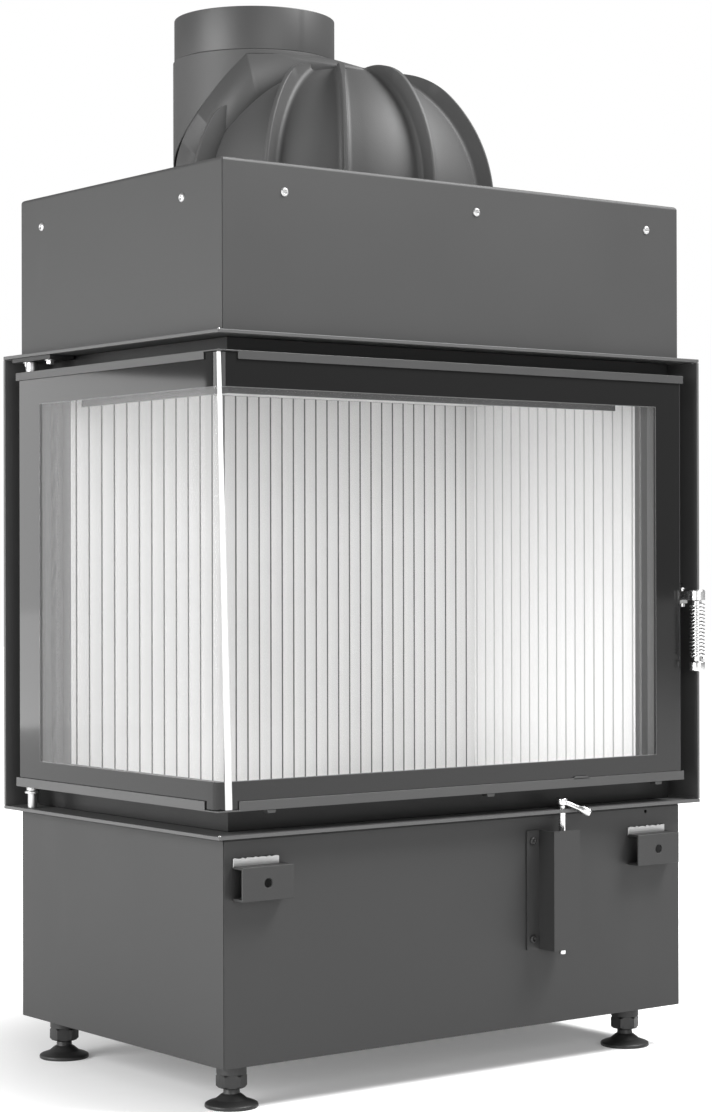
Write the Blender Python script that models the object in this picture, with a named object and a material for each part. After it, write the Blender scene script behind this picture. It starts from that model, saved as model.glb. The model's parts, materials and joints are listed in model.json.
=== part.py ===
"""Corner fireplace insert: steel casing, L-shaped glass door, fluted lining, cast dome and flue collar.

Metres. X runs right along the front, Y back along the glazed left side, Z up. Shapes are drawn in the
unit's own frame, whose origin lies on the floor under the casing's front left corner. The empty named unit
carries that frame and moves it so that the bottom centre of the whole object is the world's origin.
"""
import math

import bmesh
import bpy
import numpy as np
from mathutils import Matrix, Vector

# Clearances shared by all pieces
SEAM = 0.0003
OVERRUN = 0.002
RUNNING_GAP = 0.0005

# Casing of folded sheet
CASING_WIDTH = 0.690
CASING_DEPTH = 0.439
LOWER_CASING_HEIGHT = 0.2532
UPPER_CASING_HEIGHT = 0.1912
CASING_SHEET = 0.003
CASING_FOLD_RADIUS = 0.004
UPPER_FLANGE = 0.022
LOWER_FLANGE = 0.018
SERVICE_HOLE_RADIUS = 0.0022
SERVICE_HOLE_INSET = 0.057
SERVICE_HOLE_DROP = 0.0052

# Welded surround between the two casings
PLATE_THICKNESS = 0.004
PLATE_PROUD = 0.018
PLATE_REAR_PROUD = 0.013
PLATE_RIGHT_PROUD = 0.0195
RIGHT_PLATE_THICKNESS = 0.0035
REAR_PLATE_WIDTH = 0.078
WINDOW_BAY_HEIGHT = 0.547

# Firebox body of steel sheet
FIREBOX_FACE = 0.0185
FIREBOX_SHEET = 0.004
FIREBOX_BACK_INSET = 0.046
HEADER_HEIGHT = 0.052
SILL_HEIGHT = 0.0545
RIGHT_STILE_WIDTH = 0.046
REAR_STILE_WIDTH = 0.052
REAR_STILE_END_INSET = 0.009
AIR_PASSAGE_LENGTH = 0.180
AIR_PASSAGE_WIDTH = 0.070
AIR_PASSAGE_FRONT = 0.056

# Lining boards, hearth and baffle
HEARTH_THICKNESS = 0.016
BACK_LINING_THICKNESS = 0.034
RIGHT_LINING_THICKNESS = 0.030
LINING_FRONT_INSET = 0.042
FLUTE_PITCH = 0.018
FLUTE_WIDTH = 0.0030
FLUTE_DEPTH = 0.0025
BAFFLE_THICKNESS = 0.015
BAFFLE_FRONT_GAP = 0.100
BAFFLE_LEFT_GAP = 0.060
BAFFLE_LAP = 0.012
BAFFLE_DROP = 0.0236
HEARTH_SLOT_WIDTH = 0.008

# Air strip that washes the glass from above
STRIP_HEIGHT = 0.0620
STRIP_THICKNESS = 0.003
STRIP_REAR_INSET = 0.104
STRIP_RIGHT_INSET = 0.085

# Door: proud of the surround, round the front left corner
DOOR_PROUD = 0.020
DOOR_REAR_INSET = 0.021
DOOR_RIGHT_INSET = 0.010
DOOR_TOP_GAP = 0.0183
DOOR_BOTTOM_GAP = 0.0261
DOOR_DEPTH = 0.030
RAIL_SHEET = 0.0015
TOP_RAIL_HEIGHT = 0.0095
BOTTOM_RAIL_HEIGHT = 0.011
RAIL_NOTCH = 0.0275
GLASS_THICKNESS = 0.004
GLASS_CORNER_RADIUS = 0.013
GLASS_END_INSET = 0.005
GLASS_REAR_INSET = 0.006
STILE_WIDTH = 0.034
STILE_SHEET = 0.002
GASKET_WIDTH = 0.012
GASKET_THICKNESS = 0.0077
GASKET_REAR_INSET = 0.032
GASKET_RIGHT_INSET = 0.012

# Hinge at the rear of the glazed side
HINGE_INSET_X = 0.008
HINGE_INSET_Y = 0.039
HINGE_PIN_RADIUS = 0.004
HINGE_POST_RADIUS = 0.0055
HINGE_POST_HEIGHT = 0.0175
HINGE_WASHER_RADIUS = 0.009
HINGE_WASHER_HEIGHT = 0.003
HINGE_BUSH_RADIUS = 0.007
HINGE_BRACKET_LENGTH = 0.090
HINGE_BRACKET_REAR = 0.030
HINGE_BRACKET_THICKNESS = 0.005
HINGE_BRACKET_WIDTH = 0.034
HINGE_PIN_END_GAP = 0.002
HINGE_RUNNING_GAP = 0.0005

# Handle with a coil grip
HANDLE_PIVOT_INSET = 0.0115
HANDLE_PIVOT_BACK = 0.0155
HANDLE_RISE = 0.2344
HANDLE_ARM_HEIGHT = 0.0107
HANDLE_ARM_WIDTH = 0.0105
HANDLE_REACH = 0.0275
HANDLE_BOLT_RADIUS = 0.003
HANDLE_NUT_RADIUS = 0.0048
HANDLE_NUT_HEIGHT = 0.004
HANDLE_LUG_THICKNESS = 0.004
HANDLE_HOOK_LENGTH = 0.0165
HANDLE_HOOK_WIDTH = 0.006
HANDLE_HOOK_HEIGHT = 0.0060
GRIP_RADIUS = 0.0098
GRIP_CAP_HEIGHT = 0.0115
GRIP_CAP_ROUND = 0.0015
GRIP_CORE_RADIUS = 0.0055
COIL_LENGTH = 0.0761
COIL_TURNS = 15
COIL_WIRE_RADIUS = 0.0012
COIL_POINTS_PER_TURN = 9
STRIKE_LENGTH = 0.030
STRIKE_THICKNESS = 0.003
STRIKE_PLAY = 0.0012

# Air control beside the lower front panel
GUARD_SHEET = 0.002
GUARD_DROP = 0.0196
GUARD_HEIGHT = 0.1426
GUARD_REACH = 0.0491
GUARD_FLANGE_WIDTH = 0.0206
GUARD_PROUD = 0.030
GUARD_FRONT_WIDTH = 0.039
GUARD_LUG_INSET = 0.012
GUARD_LUG_THICKNESS = 0.003
ROD_RADIUS = 0.004
ROD_TAIL = 0.008
ROD_HEAD = 0.0133
ROD_INSET = 0.2045
ROD_PROUD = 0.010
LEVER_RADIUS = 0.0035
LEVER_HUB_RADIUS = 0.0065
LEVER_HUB_HEIGHT = 0.008
LEVER_LENGTH = 0.024
LEVER_TIP_RADIUS = 0.0052
LEVER_TIP_LENGTH = 0.013
LEVER_BEARING = -42.0
LEVER_DROOP = 22.0
CRANK_RISE = 0.062
CRANK_LENGTH = 0.030
CRANK_WIDTH = 0.009
CRANK_THICKNESS = 0.004
CRANK_PIN_RADIUS = 0.0025
CRANK_PIN_LENGTH = 0.008
CRANK_PIN_PLAY = 0.0013
CRANK_SWEEP = 25.0

# Air box and sliding gate behind the lower front panel
AIR_BOX_WIDTH = 0.200
AIR_BOX_FRONT = 0.0405
AIR_BOX_DEPTH = 0.110
AIR_BOX_SHEET = 0.002
AIR_WINDOW_WIDTH = 0.030
AIR_WINDOW_HEIGHT = 0.034
AIR_WINDOW_DROP = 0.053
GATE_WIDTH = 0.064
GATE_HEIGHT = 0.046
GATE_THICKNESS = 0.002
GATE_LIP = 0.004
GATE_TAB_WIDTH = 0.018

# Facade brackets on the lower front panel
BRACKET_SHEET = 0.003
BRACKET_STANDOFF = 0.020
BRACKET_WIDTH = 0.0695
BRACKET_HEIGHT = 0.038
BRACKET_HOLE_RADIUS = 0.0052
BRACKET_LEFT_INSET = 0.0117
BRACKET_RIGHT_INSET = 0.019
BRACKET_LEFT_DROP = 0.0312
BRACKET_RIGHT_DROP = 0.0342

# Levelling feet
FOOT_HEIGHT = 0.050
FOOT_LEFT_INSET = 0.036
FOOT_RIGHT_INSET = 0.058
FOOT_FRONT_INSET = 0.038
FOOT_REAR_INSET = 0.039
SLEEVE_RADIUS = 0.01725
SLEEVE_HEIGHT = 0.013
NUT_RADIUS = 0.0175
NUT_HEIGHT = 0.0147
NUT_SIDES = 6
NECK_RADIUS = 0.0095
PAD_RADIUS = 0.030
PAD_HEIGHT = 0.014
PAD_RIM = 0.004
SPINDLE_RADIUS = 0.006
SPINDLE_RISE = 0.035
TRAY_SHEET = 0.003

# Smoke hood, ribbed dome, outlet elbow and flue collar
DOME_WIDTH_SHARE = 0.4654
DOME_FRONT_GAP = 0.034
DOME_BACK_GAP = 0.029
DOME_WALL = 0.008
DOME_CENTRE_RISE = 0.187
DOME_SKIRT = 0.0525
DOME_FLANGE_WIDTH = 0.016
DOME_FLANGE_HEIGHT = 0.008
HOOD_SHEET = 0.004
HOOD_RIM = 0.018
RIB_BEARINGS = (-62.0, -33.0, 0.5, 48.0, 84.0, 120.0, 156.0)
SHORT_RIB_BEARING = -99.5
RIB_RISE = 0.0235
RIB_THICKNESS = 0.0055
RIB_FALL = (42.0, 69.5)
SHORT_RIB_FALL = (30.0, 43.5)
DOME_STEPS = 12
HOLLOW_STEP = 0.001
ELBOW_BEARING = -145.2
ELBOW_TILT = 45.0
ELBOW_WALL = 0.008
ELBOW_RING_HEIGHT = 0.006
ELBOW_STEPS = 48
MOUTH_SHARE = 0.756
MOUTH_OVERLAP = 0.004
NECK_SHARE = 0.6224
NECK_RISE = 0.0100
NECK_OUTER_RADIUS = 0.1015
JOINT_DROP = 0.0327
SHOULDER_RISE = 0.004
SHOULDER_TURN = -88.4
SHOULDER_TILT = 53.2
SHOULDER_TOP_ANGLE = 66.0
COLLAR_RADIUS = 0.100
COLLAR_WALL = 0.0025
COLLAR_HEIGHT = 0.0525
COLLAR_SPIGOT_DEPTH = 0.025
COLLAR_SPIGOT_WALL = 0.003

# Air inlet at the back
INLET_RADIUS = 0.0625
INLET_LENGTH = 0.040
INLET_WALL = 0.0015
INLET_FLANGE = 0.012

# Facets round a full turn, facets of a sheet's bend, and the angle up to which a surface is smooth
ROUND_STEPS = 32
SMALL_STEPS = 16
BEND_STEPS = 4
SMOOTH_UNDER = 35

# Heights above the floor
casing_bottom = FOOT_HEIGHT
lower_top = casing_bottom + LOWER_CASING_HEIGHT
bottom_plate_low = lower_top + SEAM
bay_bottom = bottom_plate_low + PLATE_THICKNESS
bay_top = bay_bottom + WINDOW_BAY_HEIGHT
top_plate_top = bay_top + PLATE_THICKNESS
upper_bottom = top_plate_top + SEAM
casing_top = upper_bottom + UPPER_CASING_HEIGHT

# Plan positions that several pieces share
plate_right = CASING_WIDTH + PLATE_RIGHT_PROUD
plate_rear = CASING_DEPTH + PLATE_REAR_PROUD
firebox_inner = FIREBOX_FACE + FIREBOX_SHEET
firebox_back = CASING_DEPTH - FIREBOX_BACK_INSET
firebox_right = CASING_WIDTH - FIREBOX_SHEET
door_right = CASING_WIDTH - DOOR_RIGHT_INSET
door_rear = CASING_DEPTH - DOOR_REAR_INSET
door_back = DOOR_DEPTH - DOOR_PROUD
door_top = bay_top - DOOR_TOP_GAP
door_bottom = bay_bottom + DOOR_BOTTOM_GAP
hinge_x = -HINGE_INSET_X
hinge_y = CASING_DEPTH - HINGE_INSET_Y
handle_x = door_right + HANDLE_PIVOT_INSET
handle_y = HANDLE_PIVOT_BACK - DOOR_PROUD
handle_top = door_bottom + HANDLE_RISE
grip_front = handle_y - HANDLE_REACH - GRIP_RADIUS
inlet_end = CASING_DEPTH + INLET_LENGTH
inlet_centre = (CASING_WIDTH / 2, casing_bottom + LOWER_CASING_HEIGHT / 2)
dome_x = CASING_WIDTH * DOME_WIDTH_SHARE
dome_radius = (CASING_DEPTH - DOME_FRONT_GAP - DOME_BACK_GAP) / 2 - DOME_FLANGE_WIDTH
dome_y = DOME_FRONT_GAP + DOME_FLANGE_WIDTH + dome_radius
dome_z = top_plate_top + DOME_CENTRE_RISE
mouth_plane = dome_radius * MOUTH_SHARE
neck_offset = dome_radius * NECK_SHARE
neck_top = dome_z + dome_radius + NECK_RISE
foot_left = FOOT_LEFT_INSET
foot_right = CASING_WIDTH - FOOT_RIGHT_INSET
foot_front = FOOT_FRONT_INSET
foot_rear = CASING_DEPTH - FOOT_REAR_INSET
foot_places = [
    ("front_left", foot_left, foot_front),
    ("rear_left", foot_left, foot_rear),
    ("front_right", foot_right, foot_front),
    ("rear_right", foot_right, foot_rear),
]

# Air control: the guard hangs from the lower casing's top, the rest from the guard
rod_x = CASING_WIDTH - ROD_INSET
rod_top = lower_top + ROD_HEAD
guard_top = lower_top - GUARD_DROP
guard_low = guard_top - GUARD_HEIGHT
rod_low = guard_low - ROD_TAIL
crank_low = guard_low + CRANK_RISE
window_low = crank_low - AIR_WINDOW_DROP
air_box_left = rod_x - AIR_BOX_WIDTH / 2
passage_left = rod_x - AIR_PASSAGE_LENGTH / 2


# Finishes: base colour, roughness, metallic
finishes = {
    "casing_steel": ((0.145, 0.148, 0.152), 0.55, 0.6),
    "frame_steel": ((0.120, 0.123, 0.127), 0.50, 0.6),
    "cast_iron": ((0.125, 0.127, 0.130), 0.62, 0.5),
    "door_steel": ((0.075, 0.077, 0.080), 0.45, 0.6),
    "bright_metal": ((0.800, 0.800, 0.800), 0.12, 1.0),
    "zinc": ((0.560, 0.570, 0.580), 0.35, 1.0),
    "black_iron": ((0.045, 0.045, 0.047), 0.50, 0.7),
    "lining_board": ((0.860, 0.860, 0.850), 0.85, 0.0),
    "ceramic_glass": ((0.090, 0.090, 0.095), 0.06, 0.0),
    "rope_seal": ((0.180, 0.180, 0.180), 0.95, 0.0),
}


def clear_scene():
    for item in list(bpy.data.objects):
        bpy.data.objects.remove(item)


def material(finish):
    found = bpy.data.materials.get(finish)
    if found:
        return found
    colour, roughness, metallic = finishes[finish]
    found = bpy.data.materials.new(finish)
    found.use_nodes = True
    shader = found.node_tree.nodes["Principled BSDF"]
    shader.inputs["Base Color"].default_value = (*colour, 1.0)
    shader.inputs["Roughness"].default_value = roughness
    shader.inputs["Metallic"].default_value = metallic
    return found


def body(name, parent=None, at=(0, 0, 0)):
    """An empty at the place of a joint's axis, in the unit's own frame."""
    empty = bpy.data.objects.new(name, None)
    bpy.context.scene.collection.objects.link(empty)
    empty["place"] = tuple(at)
    if parent:
        empty.parent = parent
        empty.location = Vector(at) - Vector(parent["place"])
    return empty


def add(name, mesh, carrier):
    """Links a mesh drawn in the unit's frame, carried by a body's empty."""
    item = bpy.data.objects.new(name, mesh)
    bpy.context.scene.collection.objects.link(item)
    item.parent = carrier
    item.location = -Vector(carrier["place"])
    return item


def piece(name, mesh, carrier, finish, smooth=False):
    item = add(name, mesh, carrier)
    mesh.materials.append(material(finish))
    if smooth:
        mesh.shade_smooth()
        mesh.set_sharp_from_angle(angle=math.radians(SMOOTH_UNDER))
    return item


def shape(item, mesh, operation):
    """Cuts or joins one more shape by a live Boolean, whose tool stays hidden."""
    tool = add(f"{item.name}_{operation.lower()}_{len(item.modifiers)}", mesh, item.parent)
    tool.hide_render = True
    tool.display_type = "WIRE"
    change = item.modifiers.new(operation.title(), "BOOLEAN")
    change.operation = operation
    change.object = tool


def cut(item, *meshes):
    for mesh in meshes:
        shape(item, mesh, "DIFFERENCE")


def join(item, *meshes):
    for mesh in meshes:
        shape(item, mesh, "UNION")


def finished(work):
    """A mesh from bmesh data, with its faces turned outwards."""
    bmesh.ops.recalc_face_normals(work, faces=work.faces)
    mesh = bpy.data.meshes.new("shape")
    work.to_mesh(mesh)
    work.free()
    return mesh


def loft(rings, closed=False):
    """Joins rings of equally many points by quads; open ends are capped."""
    work = bmesh.new()
    rows = [[work.verts.new(point) for point in ring] for ring in rings]
    pairs = list(zip(rows, rows[1:]))
    if closed:
        pairs.append((rows[-1], rows[0]))
    for low, high in pairs:
        for index in range(len(low)):
            after = (index + 1) % len(low)
            work.faces.new((low[index], low[after], high[after], high[index]))
    if not closed:
        work.faces.new(rows[0])
        work.faces.new(rows[-1])
    return finished(work)


def on_axis(axis, along, first, second):
    """A point from its place along one axis and its two other coordinates in order."""
    values = [first, second]
    values.insert("xyz".index(axis), along)
    return tuple(values)


def prism(outline, axis, start, end):
    return loft([[on_axis(axis, along, *point) for point in outline] for along in (start, end)])


def box(low, high):
    outline = [(low[0], low[1]), (high[0], low[1]), (high[0], high[1]), (low[0], high[1])]
    return prism(outline, "z", low[2], high[2])


def arc(centre, radius, first, last, steps):
    """Points on an arc from one angle in degrees to another."""
    angles = np.radians(np.linspace(first, last, steps + 1))
    return [(centre[0] + radius * math.cos(a), centre[1] + radius * math.sin(a)) for a in angles]


def circle(centre, radius, steps=SMALL_STEPS):
    return arc(centre, radius, 0, 360, steps)[:-1]


def rod(axis, centre, radius, start, end, steps=SMALL_STEPS):
    return prism(circle(centre, radius, steps), axis, start, end)


def turned(profile, centre, steps=ROUND_STEPS):
    """A closed profile of radius and height turned about a vertical axis; radius 0 is a pole."""
    work = bmesh.new()
    columns = []
    for radius, height in profile:
        if radius == 0:
            columns.append([work.verts.new((centre[0], centre[1], height))])
        else:
            ring = circle(centre, radius, steps)
            columns.append([work.verts.new((x, y, height)) for x, y in ring])
    for near, far in zip(columns, columns[1:] + columns[:1]):
        for index in range(steps):
            after = (index + 1) % steps
            corners = [near[index % len(near)], near[after % len(near)]]
            corners += [far[after % len(far)], far[index % len(far)]]
            distinct = list(dict.fromkeys(corners))
            if len(distinct) > 2:
                work.faces.new(distinct)
    return finished(work)


def hull(points):
    work = bmesh.new()
    for point in points:
        work.verts.new(point)
    made = bmesh.ops.convex_hull(work, input=work.verts)
    loose = [item for item in made["geom_interior"] if isinstance(item, bmesh.types.BMVert)]
    bmesh.ops.delete(work, geom=loose, context="VERTS")
    return finished(work)


def corner_band(outer, inner, right, rear, radius=0.0):
    """Plan outline of a wall that wraps the front left corner, with an optional bend."""
    if radius == 0:
        outside = [(outer, outer)]
        inside = [(inner, inner)]
    else:
        middle = (outer + radius, outer + radius)
        outside = arc(middle, radius, 180, 270, BEND_STEPS)
        inside = arc(middle, radius - (inner - outer), 270, 180, BEND_STEPS)
    return [(outer, rear), *outside, (right, outer), (right, inner), *inside, (inner, rear)]


def folded_profile(low, high, flange, low_flange=0.0):
    """Section of a folded sheet wall: depth from its outer face, height; flanges point inwards."""
    sheet = CASING_SHEET
    bend = CASING_FOLD_RADIUS
    top = arc((bend, high - bend), bend, 180, 90, BEND_STEPS)
    top += [(flange, high), (flange, high - sheet), (sheet, high - sheet)]
    if low_flange:
        return [*top, (sheet, low + sheet), (low_flange, low + sheet), (low_flange, low), (0, low)]
    return [*top, (sheet, low), (0, low)]


def mitred_wall(side, profile):
    """One wall of the casing's rectangle, its ends cut at 45 degrees against its neighbours."""
    length = CASING_WIDTH if side in ("front", "back") else CASING_DEPTH
    rings = []
    for end in (0, 1):
        ring = []
        for depth, height in profile:
            along = depth + SEAM
            along = length - along if end else along
            x, y = {
                "front": (along, depth),
                "back": (along, CASING_DEPTH - depth),
                "left": (depth, along),
                "right": (CASING_WIDTH - depth, along),
            }[side]
            ring.append((x, y, height))
        rings.append(ring)
    return loft(rings)


def build_lower_casing(unit):
    profile = folded_profile(casing_bottom, lower_top, LOWER_FLANGE, LOWER_FLANGE)
    walls = {}
    for side in ("front", "left", "right", "back"):
        walls[side] = piece(f"lower_{side}_panel", mitred_wall(side, profile), unit, "casing_steel")
    beyond = CASING_SHEET + OVERRUN
    hole = (CASING_WIDTH - SERVICE_HOLE_INSET, lower_top - SERVICE_HOLE_DROP - CASING_SHEET)
    cut(walls["front"], rod("y", hole, SERVICE_HOLE_RADIUS, -OVERRUN, beyond, SMALL_STEPS // 2))
    sweep = math.radians(CRANK_SWEEP)
    reach = (ROD_PROUD + CASING_SHEET) * math.tan(sweep)
    half_slot = reach + CRANK_WIDTH / 2 / math.cos(sweep) + OVERRUN / 2
    low = (rod_x - half_slot, -OVERRUN, crank_low - OVERRUN)
    high = (rod_x + half_slot, beyond, crank_low + CRANK_THICKNESS + OVERRUN)
    cut(walls["front"], box(low, high))
    back = CASING_DEPTH - CASING_SHEET - OVERRUN
    port = rod("y", inlet_centre, INLET_RADIUS - INLET_WALL, back, CASING_DEPTH + OVERRUN, ROUND_STEPS)
    cut(walls["back"], port)
    tray_low = casing_bottom + CASING_SHEET + SEAM
    edge = CASING_SHEET + SEAM
    corner = (CASING_WIDTH - edge, CASING_DEPTH - edge, tray_low + TRAY_SHEET)
    tray = piece("base_tray", box((edge, edge, tray_low), corner), unit, "casing_steel")
    for _, x, y in foot_places:
        sleeve_low = casing_bottom - SLEEVE_HEIGHT
        join(tray, rod("z", (x, y), SLEEVE_RADIUS, sleeve_low, tray_low + TRAY_SHEET / 2))
        bore = SPINDLE_RADIUS + RUNNING_GAP
        cut(tray, rod("z", (x, y), bore, sleeve_low - OVERRUN, corner[2] + OVERRUN))
    return walls


def build_upper_casing(unit):
    profile = folded_profile(upper_bottom, casing_top, UPPER_FLANGE)
    for side in ("front", "left", "right", "back"):
        piece(f"upper_{side}_panel", mitred_wall(side, profile), unit, "casing_steel")


def build_surround(unit):
    low = (-PLATE_PROUD, -PLATE_PROUD)
    slab = box((*low, bottom_plate_low), (plate_right, plate_rear, bay_bottom))
    bottom = piece("frame_bottom_plate", slab, unit, "frame_steel")
    through = (bottom_plate_low - OVERRUN, bay_bottom + OVERRUN)
    cut(bottom, rod("z", (rod_x, -ROD_PROUD), ROD_RADIUS + RUNNING_GAP, *through))
    start = (passage_left, AIR_PASSAGE_FRONT)
    end = (start[0] + AIR_PASSAGE_LENGTH, start[1] + AIR_PASSAGE_WIDTH)
    cut(bottom, box((*start, through[0]), (*end, through[1])))
    slab = box((*low, bay_top), (plate_right, plate_rear, top_plate_top))
    top = piece("frame_top_plate", slab, unit, "frame_steel")
    throat = dome_radius - HOOD_SHEET
    cut(top, rod("z", (dome_x, dome_y), throat, bay_top - OVERRUN, top_plate_top + OVERRUN, ROUND_STEPS))
    between = (bay_bottom + SEAM, bay_top - SEAM)
    inner = plate_right - RIGHT_PLATE_THICKNESS
    slab = box((inner, low[1], between[0]), (plate_right, plate_rear, between[1]))
    piece("frame_right_plate", slab, unit, "frame_steel")
    rear = plate_rear - PLATE_THICKNESS
    corner = (REAR_PLATE_WIDTH - PLATE_PROUD, plate_rear, between[1])
    piece("frame_rear_plate", box((low[0], rear, between[0]), corner), unit, "frame_steel")


def build_firebox(unit):
    low = bay_bottom + SEAM
    high = bay_top - SEAM
    rear = CASING_DEPTH - REAR_STILE_END_INSET
    band = corner_band(FIREBOX_FACE, firebox_inner, CASING_WIDTH, rear)
    header_low = bay_top - HEADER_HEIGHT
    sill_high = bay_bottom + SILL_HEIGHT
    piece("firebox_header", prism(band, "z", header_low, high), unit, "frame_steel")
    piece("firebox_sill", prism(band, "z", low, sill_high), unit, "frame_steel")
    between = (sill_high + SEAM, header_low - SEAM)
    start = (CASING_WIDTH - RIGHT_STILE_WIDTH, FIREBOX_FACE, between[0])
    piece("firebox_right_stile", box(start, (CASING_WIDTH, firebox_inner, between[1])), unit, "frame_steel")
    start = (FIREBOX_FACE, rear - REAR_STILE_WIDTH, between[0])
    piece("firebox_rear_stile", box(start, (firebox_inner, rear, between[1])), unit, "frame_steel")
    start = (firebox_inner + SEAM, firebox_back, low)
    end = (firebox_right - SEAM, firebox_back + FIREBOX_SHEET, high)
    piece("firebox_back_wall", box(start, end), unit, "frame_steel")
    start = (firebox_right, firebox_inner + SEAM, low)
    end = (CASING_WIDTH, firebox_back + FIREBOX_SHEET, high)
    piece("firebox_right_wall", box(start, end), unit, "frame_steel")


def fluted_outline(start, end, face, back):
    """Board section whose face carries narrow grooves at an even pitch."""
    length = abs(end - start)
    count = int((length - FLUTE_WIDTH) / FLUTE_PITCH)
    toward = math.copysign(1, end - start)
    inward = math.copysign(FLUTE_DEPTH, back - face)
    margin = (length - count * FLUTE_PITCH) / 2
    points = [(start, face)]
    for index in range(count + 1):
        middle = start + toward * (margin + index * FLUTE_PITCH)
        half = toward * FLUTE_WIDTH / 2
        points += [(middle - half, face), (middle, face + inward), (middle + half, face)]
    return [*points, (end, face), (end, back), (start, back)]


def build_lining(unit):
    base = bay_bottom + SEAM
    hearth_top = base + HEARTH_THICKNESS
    inner_left = firebox_inner + SEAM
    back_face = firebox_back - SEAM - BACK_LINING_THICKNESS
    right_face = firebox_right - SEAM - RIGHT_LINING_THICKNESS
    end = (firebox_right - SEAM, firebox_back - SEAM, hearth_top)
    hearth = piece("hearth_slab", box((inner_left, inner_left, base), end), unit, "lining_board")
    slot_start = passage_left + OVERRUN
    slot_end = slot_start + AIR_PASSAGE_LENGTH - 2 * OVERRUN
    for share in (1 / 4, 3 / 4):
        middle = AIR_PASSAGE_FRONT + AIR_PASSAGE_WIDTH * share
        half = HEARTH_SLOT_WIDTH / 2
        low = (slot_start, middle - half, base - OVERRUN)
        cut(hearth, box(low, (slot_end, middle + half, hearth_top + OVERRUN)))
    low = hearth_top + SEAM
    high = bay_top - BAFFLE_DROP - BAFFLE_THICKNESS
    outline = fluted_outline(inner_left, firebox_right - SEAM, back_face, firebox_back - SEAM)
    piece("back_lining", prism(outline, "z", low, high), unit, "lining_board")
    outline = fluted_outline(LINING_FRONT_INSET, back_face - SEAM, right_face, firebox_right - SEAM)
    outline = [(x, y) for y, x in outline]
    piece("right_lining", prism(outline, "z", low, high), unit, "lining_board")
    start = (BAFFLE_LEFT_GAP, BAFFLE_FRONT_GAP, high + SEAM)
    end = (right_face + BAFFLE_LAP, back_face + BAFFLE_LAP, high + SEAM + BAFFLE_THICKNESS)
    piece("baffle_plate", box(start, end), unit, "lining_board")
    face = firebox_inner + SEAM
    ends = (CASING_WIDTH - STRIP_RIGHT_INSET, CASING_DEPTH - STRIP_REAR_INSET)
    strip = corner_band(face, face + STRIP_THICKNESS, *ends)
    top = bay_top - SEAM
    piece("air_strip", prism(strip, "z", top - STRIP_HEIGHT, top), unit, "black_iron")


def build_door(door):
    lip = RAIL_SHEET
    outer = -DOOR_PROUD
    path = (door_right, door_rear)
    rails = (
        ("door_top_rail", door_top - TOP_RAIL_HEIGHT, door_top, -1),
        ("door_bottom_rail", door_bottom, door_bottom + BOTTOM_RAIL_HEIGHT, 1),
    )
    notch = outer + RAIL_NOTCH
    pin_hole = HINGE_PIN_RADIUS + HINGE_RUNNING_GAP
    for name, low, high, opening in rails:
        rail = piece(name, prism(corner_band(outer, door_back, *path), "z", low, high), door, "door_steel")
        channel = corner_band(outer + lip, door_back - lip, door_right + OVERRUN, door_rear + OVERRUN)
        if opening > 0:
            trough = (low + lip, high + OVERRUN)
        else:
            trough = (low - OVERRUN, high - lip)
        cut(rail, prism(channel, "z", *trough))
        corner = (outer - OVERRUN, outer - OVERRUN, trough[0])
        cut(rail, box(corner, (notch, notch, trough[1])))
        cut(rail, rod("z", (hinge_x, hinge_y), pin_hole, low - OVERRUN, high + OVERRUN))
    glass_low = door_bottom + lip + SEAM
    glass_high = door_top - lip - SEAM
    glass_face = outer + lip + SEAM
    glass_back = glass_face + GLASS_THICKNESS
    ends = (door_right - GLASS_END_INSET, door_rear - GLASS_REAR_INSET)
    sheet = corner_band(glass_face, glass_back, *ends, GLASS_CORNER_RADIUS)
    piece("door_glass", prism(sheet, "z", glass_low, glass_high), door, "ceramic_glass", smooth=True)
    stile_low = door_bottom + BOTTOM_RAIL_HEIGHT + SEAM
    stile_high = door_top - TOP_RAIL_HEIGHT - SEAM
    front = glass_back + SEAM
    wall = STILE_SHEET
    left = door_right - STILE_WIDTH
    section = [(left, front), (left + wall, front), (left + wall, door_back - wall)]
    section += [(door_right - wall, door_back - wall), (door_right - wall, front)]
    section += [(door_right, front), (door_right, door_back), (left, door_back)]
    piece("door_right_stile", prism(section, "z", stile_low, stile_high), door, "door_steel")
    near = door_rear - STILE_WIDTH
    section = [(front, near), (door_back, near), (door_back, door_rear), (front, door_rear)]
    section += [(front, door_rear - wall), (door_back - wall, door_rear - wall)]
    section += [(door_back - wall, near + wall), (front, near + wall)]
    piece("door_rear_stile", prism(section, "z", stile_low, stile_high), door, "door_steel")
    seal_front = door_back + SEAM
    seal_back = seal_front + GASKET_THICKNESS
    seal_right = door_right - GASKET_RIGHT_INSET
    seal_rear = door_rear - GASKET_REAR_INSET
    rope = corner_band(seal_front, seal_back, seal_right, seal_rear)
    gasket = piece("door_gasket", prism(rope, "z", door_bottom, door_top), door, "rope_seal")
    beyond = (seal_front - OVERRUN, seal_back + OVERRUN)
    inside = corner_band(*beyond, seal_right - GASKET_WIDTH, seal_rear - GASKET_WIDTH)
    cut(gasket, prism(inside, "z", door_bottom + GASKET_WIDTH, door_top - GASKET_WIDTH))
    washer_top = bay_bottom + SEAM + HINGE_POST_HEIGHT + HINGE_WASHER_HEIGHT
    bracket_low = bay_top - SEAM - HINGE_BRACKET_THICKNESS
    bushes = (
        ("hinge_lower_bush", washer_top + SEAM, door_bottom - SEAM),
        ("hinge_upper_bush", door_top + SEAM, bracket_low - HINGE_RUNNING_GAP),
    )
    for name, low, high in bushes:
        outside = HINGE_BUSH_RADIUS
        profile = [(outside, high), (outside, low), (pin_hole, low), (pin_hole, high)]
        piece(name, turned(profile, (hinge_x, hinge_y), SMALL_STEPS), door, "zinc", smooth=True)


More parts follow.
